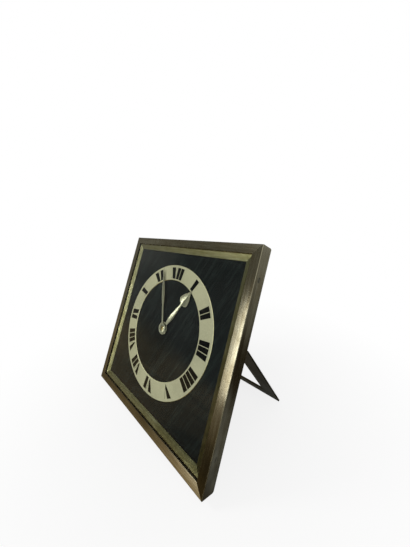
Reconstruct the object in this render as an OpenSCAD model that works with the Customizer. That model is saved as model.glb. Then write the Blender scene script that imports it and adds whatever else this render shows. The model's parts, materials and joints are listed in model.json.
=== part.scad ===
// Square table clock with a metal frame, a raised chapter ring and a folding wire-free plate stand.
// The clock is drawn facing +Z with its face upright along +Y, and stood() leans it on its stand.

/* [Frame] */
// Side of the square frame
frame_side = 160; // [140:1:200]
// Depth of the frame bars, front to back
frame_d = 11.6; // [11:0.1:16]
// Width of the frame bars as seen from the front
face_w = 5.2; // [4:0.1:8]
// Width of the front lip that holds the glass
lip_w = 0.8; // [0.6:0.1:1.5]
// Thickness of the front lip
lip_t = 0.8; // [0.5:0.1:1.2]
// Chamfer along the outer edges of the bars
arris = 0.3; // [0.1:0.05:0.6]

/* [Glass, slip and dial] */
// Thickness of the front glass
glass_t = 1.5; // [1:0.1:2.5]
// Width of the sloping slip between frame and dial
slip_w = 5.6; // [3:0.1:10]
// Sheet thickness of the slip
slip_t = 0.7; // [0.5:0.1:1]
// Height of the slip's inner rim above the dial
slip_rim = 0.9; // [0.7:0.1:1.4]
// Thickness of the dial plate
dial_t = 2; // [1.5:0.1:3]
// Outer diameter of the chapter ring
ring_od = 114.6; // [100:0.2:120]
// Inner diameter of the chapter ring
ring_id = 86.2; // [70:0.2:92]
// Thickness of the chapter ring
ring_t = 0.9; // [0.7:0.1:1.5]
// Width of the bevel on the ring's two edges
ring_bevel = 0.4; // [0.1:0.05:0.6]

/* [Hands] */
// Length of the minute hand from its axis
minute_len = 55.6; // [45:0.2:57]
// Length of the hour hand from its axis
hour_len = 44.6; // [36:0.2:50]
// Thickness of both hands
hand_t = 0.4; // [0.3:0.05:0.6]
// Radius of the minute hand's boss
minute_boss_r = 4.3; // [2.5:0.1:5]
// Radius of the hour hand's boss
hour_boss_r = 5.5; // [3.5:0.1:6]
// Half the greatest width of the hour hand's spade
spade_w = 5.5; // [3:0.1:7]
// Half the width of the minute hand's leaf
leaf_w = 1.9; // [1.2:0.1:3]
// Minute hand's angle past twelve
minute_at = 339; // [0:1:360]
// Hour hand's angle past twelve
hour_at = 32; // [0:0.5:360]

/* [Back tray and movement case] */
// Sheet thickness of the tray's back
tray_t = 1.2; // [1:0.1:1.5]
// Sheet thickness of the tray's turned-up edge
tray_edge = 1; // [0.8:0.1:1.5]
// Radius of the tray's opening for the movement
tray_hole_r = 22; // [20:0.5:23]
// Outer radius of the movement case
case_r = 28.5; // [28:0.5:32]
// Sheet thickness of the movement case
case_t = 0.8; // [0.6:0.1:1.2]
// Depth of the movement case behind the frame
case_d = 26.4; // [25:0.2:32]
// Width of the case's front flange
case_flange = 5; // [4:0.5:8]

/* [Movement] */
// Thickness of the two movement plates
plate_t = 1.5; // [1.2:0.1:1.6]
// Gap between the movement plates
plate_gap = 14; // [14:0.1:15]
// Radius of the four pillars
pillar_r = 1.5; // [1.2:0.1:2]
// Distance of the pillars from the centre
pillar_at = 23.4; // [23:0.1:24]
// Radius of the centre arbor
centre_r = 0.8; // [0.7:0.05:0.9]
// Radius of the thin arbor pivots
pivot_r = 0.3; // [0.25:0.05:0.4]
// Thickness of the brass wheels
wheel_t = 0.6; // [0.5:0.05:0.7]

/* [Gear teeth] */
// Teeth on the mainspring barrel
barrel_n = 72; // [72:1:76]
// Leaves on the centre pinion
centre_leaves = 12; // [12:1:14]
// Teeth on the centre wheel
centre_n = 64; // [60:1:66]
// Leaves on the third pinion
third_leaves = 8; // [8:1:9]
// Teeth on the third wheel
third_n = 60; // [58:1:62]
// Leaves on the fourth pinion
fourth_leaves = 8; // [8:1:9]
// Teeth on the fourth wheel
fourth_n = 70; // [66:1:72]
// Leaves on the escape pinion
escape_leaves = 7; // [7:1:8]
// Teeth on the escape wheel
escape_n = 15; // [15:1:16]
// Module of the barrel and centre wheel teeth
centre_m = 0.3; // [0.29:0.01:0.31]
// Module of the third wheel teeth
third_m = 0.28; // [0.27:0.01:0.29]
// Module of the fourth wheel teeth
fourth_m = 0.24; // [0.23:0.01:0.25]
// Leaves on the cannon pinion
cannon_leaves = 12; // [12:1:14]
// Teeth on the minute wheel
minute_n = 36; // [34:1:38]
// Leaves on the minute wheel's pinion
minute_leaves = 10; // [10:1:12]
// Teeth on the hour wheel
hour_n = 40; // [38:1:44]
// Module of the hour wheel teeth
hour_m = 0.4; // [0.38:0.01:0.42]

/* [Escapement] */
// Tip radius of the escape wheel
escape_r = 4; // [3.6:0.1:4.2]
// Distance from the lever's pivot to the balance staff
fork_reach = 6; // [5.8:0.1:6.4]
// Outer radius of the balance
balance_r = 5.2; // [4.6:0.1:5.3]
// Turns of the hairspring
hair_turns = 6; // [4:1:8]
// Turns of the mainspring
main_turns = 8; // [5:1:9]

/* [Winding and setting] */
// Side of the winding square
square_w = 2.1; // [1.8:0.1:2.3]
// Tip radius of the ratchet wheel
ratchet_r = 5; // [4:0.1:5.5]
// Teeth on the ratchet wheel
ratchet_n = 24; // [18:1:30]
// Radius of the hand-setting knob
knob_r = 4.5; // [3.5:0.1:5]
// Length of the winding key's wings from its axis
key_wing = 7; // [5:0.1:7.5]

/* [Stand] */
// Width of the stand's arms and crossbar
stand_w = 12.5; // [10:0.5:18]
// Thickness of the stand's plate
stand_t = 1.5; // [1.2:0.1:2]
// Length of the stand from its hinge to its foot
stand_len = 87.5; // [80:0.5:88]
// Height of the stand's hinge above the centre of the face
hinge_y = 8.5; // [4:0.5:12]
// Distance of the hinge axis behind the frame
hinge_off = 3; // [3:0.1:4]
// Angle of the open stand from the frame's back
stand_open = 57.5; // [40:0.5:65]
// Radius of the hinge knuckles
knuckle_r = 1.9; // [1.6:0.1:2]
// Radius of the hinge pins
hinge_pin_r = 0.8; // [0.6:0.05:1]

/* [Screws] */
// Shank radius of the small screws
screw_r = 0.95; // [0.8:0.05:1]
// Head radius of the small screws
head_r = 1.7; // [1.5:0.05:1.9]
// Head height of the small screws
head_h = 0.8; // [0.6:0.1:1]
// Height of the side screws above and below the centre
side_screw_y = 57; // [40:1:62]
// Height of the side screws' axes above the dial plate
side_screw_up = 1.1; // [1.1:0.1:1.6]

/* [Fits] */
// Clearance around parts that drop into the frame
drop_gap = 0.15; // [0.1:0.05:0.3]
// Radial clearance of running bearings
run_gap = 0.05; // [0.03:0.01:0.1]
// Radial clearance of parts pushed onto an arbor
push_gap = 0.01; // [0.01:0.005:0.03]
// Clearance between surfaces that pass each other
pass_gap = 0.3; // [0.25:0.05:0.5]

/* [Hidden] */
$fn = 96;
fine = 32;
eps = 0.01;

half = frame_side / 2;
wall = face_w - lip_w;
seat = half - wall;
back_z = -frame_d;

// Levels of the dial stack, measured from the front of the frame
glass_back = -(lip_t + glass_t);
cap_dome = 0.35;
cap_top = glass_back - pass_gap;
minute_front = cap_top - cap_dome;
minute_back = minute_front - hand_t;
hand_space = 0.85;
hour_front = minute_back - hand_space;
hour_back = hour_front - hand_t;
ring_top = hour_back - pass_gap;
dial_front = ring_top - ring_t;
dial_back = dial_front - dial_t;
side_screw_z = dial_front + side_screw_up;
tray_in = back_z + tray_t;
tray_half = seat - drop_gap;
slip_out = tray_half - tray_edge - drop_gap;
slip_in = half - face_w - slip_w;

// Motion work between the dial and the movement's front plate
cannon_m = hour_m * (minute_leaves + hour_n) / (cannon_leaves + minute_n);
motion_cd = hour_m * (minute_leaves + hour_n) / 2;
pipe_r = 2.3;
cannon_r = 1.5;
hour_wheel_z = dial_back - 0.5;
minute_wheel_z = hour_wheel_z - wheel_t - 0.8;
minute_turn = 90 - minute_at;
hour_turn = 90 - hour_at;
minute_wheel_at = [motion_cd, 0];

// Movement plates, with depth h counted from the front plate's inner face
front_in = back_z - plate_t;
rear_in = front_in - plate_gap;
rear_out = rear_in - plate_t;
plate_r = case_r - case_t - drop_gap;
rear_plate_r = plate_r - 1.3;
end_shake = 0.1;
pivot_len = plate_t - 0.2;

// Where each arbor stands
barrel_cd = centre_m * (barrel_n + centre_leaves) / 2;
third_cd = centre_m * (centre_n + third_leaves) / 2;
fourth_cd = third_m * (third_n + fourth_leaves) / 2;
escape_cd = fourth_m * (fourth_n + escape_leaves) / 2;
third_dir = 150;
fourth_dir = 60;
escape_dir = 0;
lever_dir = -20;
balance_dir = -50;
barrel_at = [0, -barrel_cd];
third_at = polar(third_cd, third_dir);
fourth_at = third_at + polar(fourth_cd, fourth_dir);
escape_at = fourth_at + polar(escape_cd, escape_dir);
lever_cd = escape_r / cos(30);
lever_at = escape_at + polar(lever_cd, lever_dir);
balance_at = lever_at + polar(fork_reach, balance_dir);

// Depths of the wheels between the plates
centre_wheel_h = 0.9;
centre_pinion_h = [2.2, 4.6];
third_pinion_h = [0.5, 2];
barrel_h = 3;
barrel_len = 8;
fourth_wheel_h = 3.6;
escape_pinion_h = [3, 4.8];
escape_wheel_h = 5.2;
lever_h = 5;
lever_t = 0.9;
third_wheel_h = 6;
fourth_pinion_h = [5.4, 7.2];
roller_h = lever_h + lever_t + 0.5;
balance_h = 8;
hair_h = 10.4;
hair_t = 0.5;
regulator_h = 12.5;

// Barrel and its parts
barrel_root = centre_m * (barrel_n / 2 - 1.25);
barrel_r = barrel_root - 0.3;
barrel_wall = 0.8;
barrel_base = 1;
barrel_arbor_r = 1.6;
barrel_core_r = 2.4;
rear_pivot_r = square_w / sqrt(2) + 0.05;

// Rear cover, key and knob
cover_in = back_z - case_d + case_t;
cover_out = back_z - case_d;
square_end = cover_out - 6;
arbor_end = cover_out - 6.2;

// Stand, with its arms flush with the frame's sides
hinge_z = back_z - hinge_off;
leaf_t = 0.8;
stop_gap = 0.2;
tail = (hinge_off - stop_gap - stand_t / 2 * cos(stand_open)) / sin(stand_open);
tab_in = half - stand_w - 9.2;
tab_w = half - stand_w - tab_in;
knuckle_w = (tab_w - 2 * pass_gap) / 3;
tab_len = 8;
leaf_w_out = half - stand_w - pass_gap;
leaf_x = tab_in - 5;

// Lean of the clock: the line through the frame's lower rear edge and the stand's foot is level
rest_z = back_z + arris;
foot_y = hinge_y - stand_len * cos(stand_open) - stand_t / 2 * sin(stand_open);
foot_z = hinge_z - stand_len * sin(stand_open) + stand_t / 2 * cos(stand_open);
lean = atan2(foot_y + half, rest_z - foot_z);
foot_back_y = hinge_y - stand_len * cos(stand_open) + stand_t / 2 * sin(stand_open);
foot_back_z = hinge_z - stand_len * sin(stand_open) - stand_t / 2 * cos(stand_open);
ground = -half * cos(lean) + rest_z * sin(lean);
front_reach = -(half - arris) * sin(lean);
back_reach = foot_back_y * sin(lean) - foot_back_z * cos(lean);
middle = (front_reach + back_reach) / 2;

function polar(r, a) = [r * cos(a), r * sin(a)];

// Angle of a follower's first tooth, so that its teeth meet the driver's gaps
// dir is the direction from driver to follower and first is the driver's first tooth
function mesh(dir, first, driver, follower) =
    dir + 180 - 180 / follower + (dir - first) * driver / follower;

// Outline of a toothed wheel: shares are the tooth's width at root, pitch circle and tip
function teeth(n, m, first, top, depth, shares) = [
    for (i = [0 : n - 1], p = [[-depth, -shares[0]], [0, -shares[1]], [top, -shares[2]],
                               [top, shares[2]], [0, shares[1]], [-depth, shares[0]]])
        polar(m * (n / 2 + p[0]), first + (i + p[1] / 2) * 360 / n)
];

// Leans the clock back and sets the middle of its footprint at the origin
module stood() {
    translate([0, -middle, -ground]) rotate([90 - lean, 0, 0]) children();
}

// A round bar along the face's normal, between two levels
module post(at, r, from, to) {
    translate([at[0], at[1], min(from, to)]) cylinder(r = r, h = abs(to - from));
}

// The same bar, with its levels given as depths behind the front plate
module inner_post(at, r, h1, h2) {
    post(at, r, front_in - h1, front_in - h2);
}

module layer(from, thick) {
    translate([0, 0, from - thick]) linear_extrude(thick) children();
}

module square_block(side_half, top, bottom) {
    translate([-side_half, -side_half, bottom]) cube([2 * side_half, 2 * side_half, top - bottom]);
}

// A bar of the given section, mitred at both ends, on one side of a square
module mitred_bar(section, reach, turn) {
    rotate([0, 0, turn]) intersection() {
        rotate([90, 0, 0]) linear_extrude(2 * reach, center = true) polygon(section);
        translate([0, 0, -frame_d - 1])
            linear_extrude(frame_d + 2) polygon([[0, 0], [reach + 1, reach + 1], [reach + 1, -reach - 1]]);
    }
}

// Wheel with teeth, a hub and crossed arms
module wheel_2d(n, m, first, hub, rim, arms, arm_w) {
    difference() {
        polygon(teeth(n, m, first, 0.85, 1.25, [0.6, 0.42, 0.16]));
        difference() {
            circle(r = m * (n / 2 - 1.25) - rim);
            circle(r = hub);
            for (i = [0 : arms - 1])
                rotate([0, 0, i * 360 / arms + 20]) translate([0, -arm_w / 2]) square([m * n / 2, arm_w]);
        }
    }
}

module leaves_2d(n, m, first) {
    polygon(teeth(n, m, first, 0.65, 1.45, [0.34, 0.34, 0.14]));
}

module screw_heads(at_list, level, shank, head, tall, deep) {
    for (at = at_list) difference() {
        union() {
            post(at, shank, level + deep, level);
            post(at, head, level, level - tall);
        }
        translate([at[0] - head, at[1] - 0.2, level - tall - eps]) cube([2 * head, 0.4, 0.35]);
    }
}

module side_bores(r, from, to) {
    for (y = [-side_screw_y, side_screw_y])
        translate([from, y, side_screw_z]) rotate([0, 90, 0]) cylinder(r = r, h = to - from);
}

module frame_bar(turn) {
    section = [
        [half - arris, 0], [half - face_w + arris / 2, 0], [half - face_w, -arris / 2],
        [half - face_w, -lip_t], [seat, -lip_t], [seat, back_z],
        [half - arris, back_z], [half, back_z + arris], [half, -arris]
    ];
    mitred_bar(section, half, turn);
}

module side_bar(turn) {
    rotate([0, 0, turn]) difference() {
        frame_bar(0);
        side_bores(screw_r + 0.1, seat - 1, half + 1);
        for (y = [-side_screw_y, side_screw_y])
            translate([half - head_h, y, side_screw_z]) rotate([0, 90, 0])
                cylinder(r1 = screw_r + 0.1, r2 = head_r + 0.1, h = head_h + eps);
    }
}

module frame_top_bar() { color([0.42, 0.39, 0.28]) stood() frame_bar(90); }
module frame_bottom_bar() { color([0.42, 0.39, 0.28]) stood() frame_bar(270); }
module frame_left_bar() { color([0.42, 0.39, 0.28]) stood() side_bar(180); }
module frame_right_bar() { color([0.42, 0.39, 0.28]) stood() side_bar(0); }

module side_screws() {
    color([0.3, 0.28, 0.22]) stood() for (turn = [0, 180]) rotate([0, 0, turn])
        for (y = [-side_screw_y, side_screw_y]) translate([0, y, side_screw_z]) rotate([0, 90, 0])
            difference() {
                union() {
                    translate([0, 0, slip_out - slip_t - 1])
                        cylinder(r = screw_r, h = half - slip_out + slip_t + 1 - head_h + eps, $fn = fine);
                    translate([0, 0, half - head_h])
                        cylinder(r1 = screw_r, r2 = head_r, h = head_h - 0.05, $fn = fine);
                }
                translate([-0.2, -head_r, half - 0.4]) cube([0.4, 2 * head_r, 0.5]);
            }
}

module front_glass() {
    color([0.8, 0.86, 0.84, 0.25]) stood() square_block(seat - drop_gap, -lip_t, glass_back);
}

module dial_slip() {
    land = 0.6;
    rim_z = dial_front + slip_rim;
    slope = (glass_back - rim_z) / (slip_out - land - slip_in);
    section = [
        [slip_out, dial_front], [slip_out, glass_back], [slip_out - land, glass_back],
        [slip_in, rim_z], [slip_in, dial_front], [slip_in + slip_t, dial_front],
        [slip_in + slip_t, rim_z + slope * slip_t - slip_t],
        [slip_out - slip_t, rim_z + slope * (slip_out - slip_t - slip_in) - slip_t],
        [slip_out - slip_t, dial_front]
    ];
    color([0.62, 0.6, 0.46]) stood() difference() {
        for (turn = [0 : 90 : 270]) mitred_bar(section, slip_out, turn);
        for (turn = [0, 180]) rotate([0, 0, turn])
            side_bores(screw_r + run_gap, slip_out - slip_t - 1, slip_out + 1);
    }
}

// Feet that hold the chapter ring to the dial
ring_mid = (ring_od + ring_id) / 4;
foot_r = 0.8;
ring_feet = [for (a = [90, 210, 330]) polar(ring_mid, a)];
dial_hole_r = pipe_r + 0.7;

module dial_plate() {
    color([0.07, 0.1, 0.1]) stood() difference() {
        square_block(slip_out, dial_front, dial_back);
        post([0, 0], dial_hole_r, dial_front + 1, dial_back - 1);
        for (at = ring_feet) post(at, foot_r + run_gap, dial_front + 1, dial_back - 1);
    }
}

module chapter_ring() {
    inner = ring_id / 2;
    outer = ring_od / 2;
    color([0.8, 0.78, 0.62]) stood() union() {
        rotate_extrude($fn = 180) polygon([
            [inner, dial_front], [inner, ring_top - ring_bevel], [inner + ring_bevel, ring_top],
            [outer - ring_bevel, ring_top], [outer, ring_top - ring_bevel], [outer, dial_front]
        ]);
        for (at = ring_feet) post(at, foot_r, dial_front + eps, dial_back - 0.5);
    }
}

post_at = [for (x = [-62, 62], y = [-62, 62]) [x, y] * (half / 80)];

module dial_posts() {
    color([0.7, 0.6, 0.35]) stood() for (at = post_at) post(at, 2.5, dial_back, tray_in);
}

// Screw circles on the tray's back
case_screw_at = [for (a = [45, 135, 225, 315]) polar(case_r + case_flange / 2 + 0.2, a)];
movement_screw_at = [for (a = [0, 120, 240]) polar((tray_hole_r + plate_r) / 2, a)];
bracket_screw_at = [for (s = [-1, 1], y = [-2.5, -7]) [s * (leaf_x + 2.6), hinge_y + y]];

module back_tray() {
    color([0.72, 0.6, 0.34]) stood() difference() {
        square_block(tray_half, glass_back, back_z);
        square_block(tray_half - tray_edge, glass_back + 1, tray_in);
        post([0, 0], tray_hole_r, tray_in + 1, back_z - 1);
        for (at = concat(case_screw_at, bracket_screw_at, movement_screw_at))
            post(at, screw_r + run_gap, tray_in + 1, back_z - 1);
        for (turn = [0, 180]) rotate([0, 0, turn])
            side_bores(screw_r + run_gap, tray_half - tray_edge - 1, tray_half + 1);
    }
}

// Half outline of the hour hand: a kite-shaped stem and a spade, as distance and half width
neck_at = hour_len * 0.67;
neck_w = 1;
spade = [for (s = [0.02 : 0.07 : 0.95]) [
    neck_at + (hour_len - neck_at) * s,
    max(s < 0.1 ? neck_w : 0, spade_w * 2.29 * pow(s, 0.35) * pow(1 - s, 1.2))
]];
hour_side = concat([[hour_boss_r - 0.5, 1.3], [14, 2.5], [neck_at - 0.4, neck_w]], spade);

// Half outline of the minute hand: a thin stem that steps out into a long leaf
leaf_at = minute_len * 0.38;
minute_side = [
    [minute_boss_r - 0.5, 0.9], [leaf_at, 0.9], [leaf_at + 0.5, leaf_w * 0.7], [leaf_at + 9, leaf_w],
    [leaf_at + 18, leaf_w * 0.8], [minute_len - 5, leaf_w * 0.35]
];

module hand_2d(side, tip) {
    polygon(concat([for (p = side) [p[0], p[1]]], [[tip, 0]],
        [for (i = [len(side) - 1 : -1 : 0]) [side[i][0], -side[i][1]]]));
}

// The blades are a little thinner than their bosses
blade_in = 0.05;
blade_t = hand_t - 2 * blade_in;

module hour_hand() {
    color([0.62, 0.6, 0.52]) stood() difference() {
        union() {
            rotate([0, 0, hour_turn]) layer(hour_front - blade_in, blade_t) hand_2d(hour_side, hour_len);
            post([0, 0], hour_boss_r, hour_front, hour_back);
        }
        post([0, 0], pipe_r + push_gap, hour_front + 1, hour_back - 1);
    }
}

minute_bore = 1.1;

module minute_hand() {
    color([0.62, 0.6, 0.52]) stood() difference() {
        union() {
            rotate([0, 0, minute_turn])
                layer(minute_front - blade_in, blade_t) hand_2d(minute_side, minute_len);
            post([0, 0], minute_boss_r, minute_front, minute_back);
        }
        post([0, 0], minute_bore + push_gap, minute_front + 1, minute_back - 1);
    }
}

module hand_cap() {
    color([0.72, 0.6, 0.36]) stood() rotate_extrude($fn = 48) polygon([
        [0, minute_front], [1.9, minute_front], [1.9, minute_front + 0.12],
        [1.5, cap_top - 0.08], [0.8, cap_top], [0, cap_top]
    ]);
}

// The minute wheel's first tooth follows from the cannon pinion, and its pinion drives the hour wheel
cannon_first = minute_turn;
minute_first = mesh(0, cannon_first, cannon_leaves, minute_n);
minute_leaf_first = minute_first;
hour_first = mesh(180, minute_leaf_first, minute_leaves, hour_n);

module hour_wheel() {
    color([0.76, 0.64, 0.36]) stood() difference() {
        union() {
            layer(hour_wheel_z, wheel_t) wheel_2d(hour_n, hour_m, hour_first, 3.6, 1.1, 5, 1);
            post([0, 0], pipe_r, hour_front, hour_wheel_z - wheel_t);
        }
        post([0, 0], cannon_r + run_gap, hour_front + 1, hour_wheel_z - wheel_t - 1);
    }
}

module cannon_pinion() {
    color([0.55, 0.55, 0.55]) stood() difference() {
        union() {
            layer(hour_wheel_z - wheel_t - 0.3, 1.9) leaves_2d(cannon_leaves, cannon_m, cannon_first);
            post([0, 0], cannon_r, hour_wheel_z - wheel_t - 0.4, minute_back);
            post([0, 0], minute_bore, minute_back - eps, minute_front);
        }
        post([0, 0], centre_r + push_gap, minute_front + 1, back_z - 1);
    }
}

minute_post_r = 0.8;

module minute_wheel() {
    color([0.76, 0.64, 0.36]) stood() translate([motion_cd, 0, 0]) difference() {
        union() {
            layer(minute_wheel_z, wheel_t) wheel_2d(minute_n, cannon_m, minute_first, 3, 1.1, 4, 1);
            layer(dial_back - 0.35, dial_back - 0.35 - minute_wheel_z + eps)
                leaves_2d(minute_leaves, hour_m, minute_leaf_first);
        }
        post([0, 0], minute_post_r + run_gap, dial_back, back_z - 1);
    }
}

module minute_wheel_post() {
    color([0.55, 0.55, 0.55]) stood() union() {
        post(minute_wheel_at, minute_post_r, dial_back - 0.35, front_in);
        post(minute_wheel_at, 1.6, minute_wheel_z - wheel_t - 0.1, back_z);
    }
}

module centre_arbor() {
    color([0.6, 0.6, 0.6]) stood() post([0, 0], centre_r, minute_front - 0.1, arbor_end);
}

module setting_knob() {
    flutes = 20;
    color([0.72, 0.6, 0.36]) stood() difference() {
        layer(cover_out - 1, 4.8) difference() {
            circle(r = knob_r);
            for (i = [0 : flutes - 1])
                translate(polar(knob_r + 0.3, i * 360 / flutes)) circle(r = 0.6, $fn = 16);
        }
        post([0, 0], centre_r + push_gap, cover_out, arbor_end);
    }
}

pillar_list = [for (a = [45, 135, 225, 315]) polar(pillar_at, a)];

module plate(r, from, to) {
    difference() {
        post([0, 0], r, from, to);
        post([0, 0], centre_r + run_gap, from + 1, to - 1);
        for (at = [third_at, fourth_at, escape_at])
            post(at, pivot_r + run_gap, from + 1, to - 1);
        for (at = [lever_at, balance_at]) post(at, 1, from + 1, to - 1);
    }
}

module front_plate() {
    color([0.78, 0.66, 0.38]) stood() difference() {
        plate(plate_r, back_z, front_in);
        post(barrel_at, 1.1 + run_gap, back_z + 1, front_in - 1);
        post(minute_wheel_at, minute_post_r + push_gap, back_z + 1, front_in - 1);
        for (at = movement_screw_at) post(at, screw_r + run_gap, back_z + 1, front_in - 1);
    }
}

click_pivot = barrel_at + polar(8, 20);
click_spring_at = barrel_at + polar(12.5, 60);

module rear_plate() {
    color([0.78, 0.66, 0.38]) stood() union() {
        difference() {
            plate(rear_plate_r, rear_in, rear_out);
            post(barrel_at, rear_pivot_r + run_gap, rear_in + 1, rear_out - 1);
            for (at = concat(pillar_list, [click_pivot, click_spring_at]))
                post(at, screw_r + run_gap, rear_in + 1, rear_out - 1);
        }
        difference() {
            post(balance_at, 1.9, rear_in, front_in - regulator_h + 0.1);
            post(balance_at, 1, rear_in - 1, front_in);
        }
    }
}

module pillars() {
    color([0.78, 0.66, 0.38]) stood() for (at = pillar_list) difference() {
        post(at, pillar_r, front_in, rear_in);
        post(at, screw_r, rear_in + 4, rear_in - 1);
    }
}

module pillar_screws() {
    color([0.3, 0.34, 0.5]) stood()
        screw_heads(pillar_list, rear_out, screw_r - push_gap, head_r, head_h, plate_t + 3.5);
}

barrel_first = 90 + 180 / barrel_n;
centre_leaf_first = mesh(90, barrel_first, barrel_n, centre_leaves);
third_leaf_first = mesh(third_dir, 0, centre_n, third_leaves);
fourth_leaf_first = mesh(fourth_dir, 0, third_n, fourth_leaves);
escape_leaf_first = mesh(escape_dir, 0, fourth_n, escape_leaves);

module barrel() {
    color([0.78, 0.66, 0.38]) stood() translate([barrel_at[0], barrel_at[1], 0]) difference() {
        union() {
            layer(front_in - barrel_h, barrel_base)
                polygon(teeth(barrel_n, centre_m, barrel_first, 0.85, 1.25, [0.6, 0.42, 0.16]));
            inner_post([0, 0], barrel_r, barrel_h + barrel_base - eps, barrel_h + barrel_len);
        }
        inner_post([0, 0], barrel_r - barrel_wall, barrel_h + barrel_base, barrel_h + barrel_len + 1);
        inner_post([0, 0], barrel_arbor_r + run_gap, barrel_h - 1, barrel_h + 3);
    }
}

module barrel_cover() {
    lid_t = 0.8;
    end_h = barrel_h + barrel_len;
    color([0.76, 0.64, 0.36]) stood() translate([barrel_at[0], barrel_at[1], 0]) difference() {
        inner_post([0, 0], barrel_r - barrel_wall - push_gap, end_h - lid_t, end_h);
        inner_post([0, 0], barrel_arbor_r + run_gap, end_h - 2, end_h + 1);
    }
}

// A flat spiral strip between two radii
module spiral_2d(r1, r2, turns, thick) {
    steps = 24 * turns;
    function at(i, side) = polar(r1 + (r2 - r1) * i / steps + side * thick / 2, 15 * i);
    polygon(concat([for (i = [0 : steps]) at(i, 1)], [for (i = [steps : -1 : 0]) at(i, -1)]));
}

module mainspring() {
    spring_h = barrel_len - barrel_base - 0.8 - 2 * pass_gap;
    color([0.35, 0.38, 0.45]) stood() translate([barrel_at[0], barrel_at[1], 0])
        layer(front_in - barrel_h - barrel_base - pass_gap, spring_h)
            spiral_2d(barrel_core_r + 0.5, barrel_r - barrel_wall - 0.25, main_turns, 0.25);
}

module barrel_arbor() {
    color([0.6, 0.6, 0.6]) stood() translate([barrel_at[0], barrel_at[1], 0]) union() {
        inner_post([0, 0], barrel_arbor_r, end_shake, plate_gap - end_shake);
        inner_post([0, 0], barrel_core_r, barrel_h + barrel_base + 0.15, barrel_h + barrel_len - 0.95);
        inner_post([0, 0], 1.1, -pivot_len, 1);
        inner_post([0, 0], rear_pivot_r, plate_gap - 1, plate_gap + plate_t + 0.1);
        translate([-square_w / 2, -square_w / 2, square_end])
            cube([square_w, square_w, rear_out - square_end]);
    }
}

module ratchet_wheel() {
    color([0.62, 0.62, 0.6]) stood() translate([barrel_at[0], barrel_at[1], 0])
        layer(rear_out - 0.2, 1) difference() {
            polygon([for (i = [0 : ratchet_n - 1], p = [[0.84, 0], [1, 0.8]])
                polar(ratchet_r * p[0], (i + p[1]) * 360 / ratchet_n)]);
            square(square_w + 2 * push_gap, center = true);
        }
}

click_z = rear_out - 0.2;
click_beak = barrel_at + polar(ratchet_r + 0.2, 52);

module click() {
    reach = norm(click_beak - click_pivot);
    dir = atan2(click_beak[1] - click_pivot[1], click_beak[0] - click_pivot[0]);
    color([0.6, 0.6, 0.6]) stood() translate([click_pivot[0], click_pivot[1], 0]) difference() {
        union() {
            rotate([0, 0, dir]) layer(click_z, 1)
                polygon([[0, -1.3], [reach - 0.6, -0.9], [reach, 0.1], [0, 1.5]]);
            post([0, 0], 1.6, click_z, click_z - 1);
        }
        post([0, 0], screw_r + run_gap, click_z + 1, click_z - 2);
    }
}

module click_screw() {
    color([0.3, 0.34, 0.5]) stood()
        screw_heads([click_pivot], click_z - 1.1, screw_r, head_r, head_h, 1.2 + plate_t);
}

module click_spring() {
    tip = click_pivot + [-1.6, 3.2];
    color([0.35, 0.38, 0.45]) stood() union() {
        layer(click_z, 1) polygon([
            click_spring_at + [-0.3, -0.8], click_spring_at + [1, -0.8],
            tip + [0.35, 0.1], tip + [0, 0.3], tip + [-0.2, 0.2]
        ]);
        post(click_spring_at, 1.4, rear_out, click_z - 1);
        post(click_spring_at, screw_r, rear_in - 0.2, rear_out - eps);
    }
}

module winding_key() {
    hub = 2.9;
    top = cover_out - 1.2;
    color([0.72, 0.6, 0.36]) stood() translate([barrel_at[0], barrel_at[1], 0]) difference() {
        union() {
            post([0, 0], hub, top, top - 9);
            intersection() {
                translate([-key_wing, -0.8, top - 14]) cube([2 * key_wing, 1.6, 9]);
                rotate([90, 0, 0]) linear_extrude(4, center = true) for (s = [-1, 1])
                    translate([s * (key_wing - 3.6), top - 9.6]) circle(r = 3.6, $fn = fine);
            }
            translate([-2, -0.8, top - 12]) cube([4, 1.6, 6]);
        }
        translate([-square_w / 2 - push_gap, -square_w / 2 - push_gap, square_end - 0.3])
            cube([square_w + 2 * push_gap, square_w + 2 * push_gap, top - square_end + 1]);
    }
}

module centre_wheel() {
    sleeve_r = 1.25;
    color([0.76, 0.64, 0.36]) stood() difference() {
        union() {
            layer(front_in - centre_wheel_h, wheel_t) wheel_2d(centre_n, centre_m, 0, 2.6, 1.2, 5, 0.9);
            inner_post([0, 0], sleeve_r, 0.3, centre_pinion_h[1] + 0.4);
            layer(front_in - centre_pinion_h[0], centre_pinion_h[1] - centre_pinion_h[0])
                leaves_2d(centre_leaves, centre_m, centre_leaf_first);
        }
        inner_post([0, 0], centre_r + run_gap, -1, plate_gap);
    }
}

module train_wheel(at, n, m, h, hub, arms, hole) {
    translate([at[0], at[1], 0]) difference() {
        layer(front_in - h, wheel_t) wheel_2d(n, m, 0, hub, 1, arms, 0.8);
        inner_post([0, 0], hole + push_gap, h - 1, h + wheel_t + 1);
    }
}

module train_arbor(at, r, leaves, m, first, span) {
    translate([at[0], at[1], 0]) union() {
        inner_post([0, 0], r, end_shake, plate_gap - end_shake);
        inner_post([0, 0], pivot_r, -pivot_len, plate_gap + pivot_len);
        layer(front_in - span[0], span[1] - span[0]) leaves_2d(leaves, m, first);
    }
}

third_arbor_r = 0.55;
fourth_arbor_r = 0.5;
escape_arbor_r = 0.4;

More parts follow.
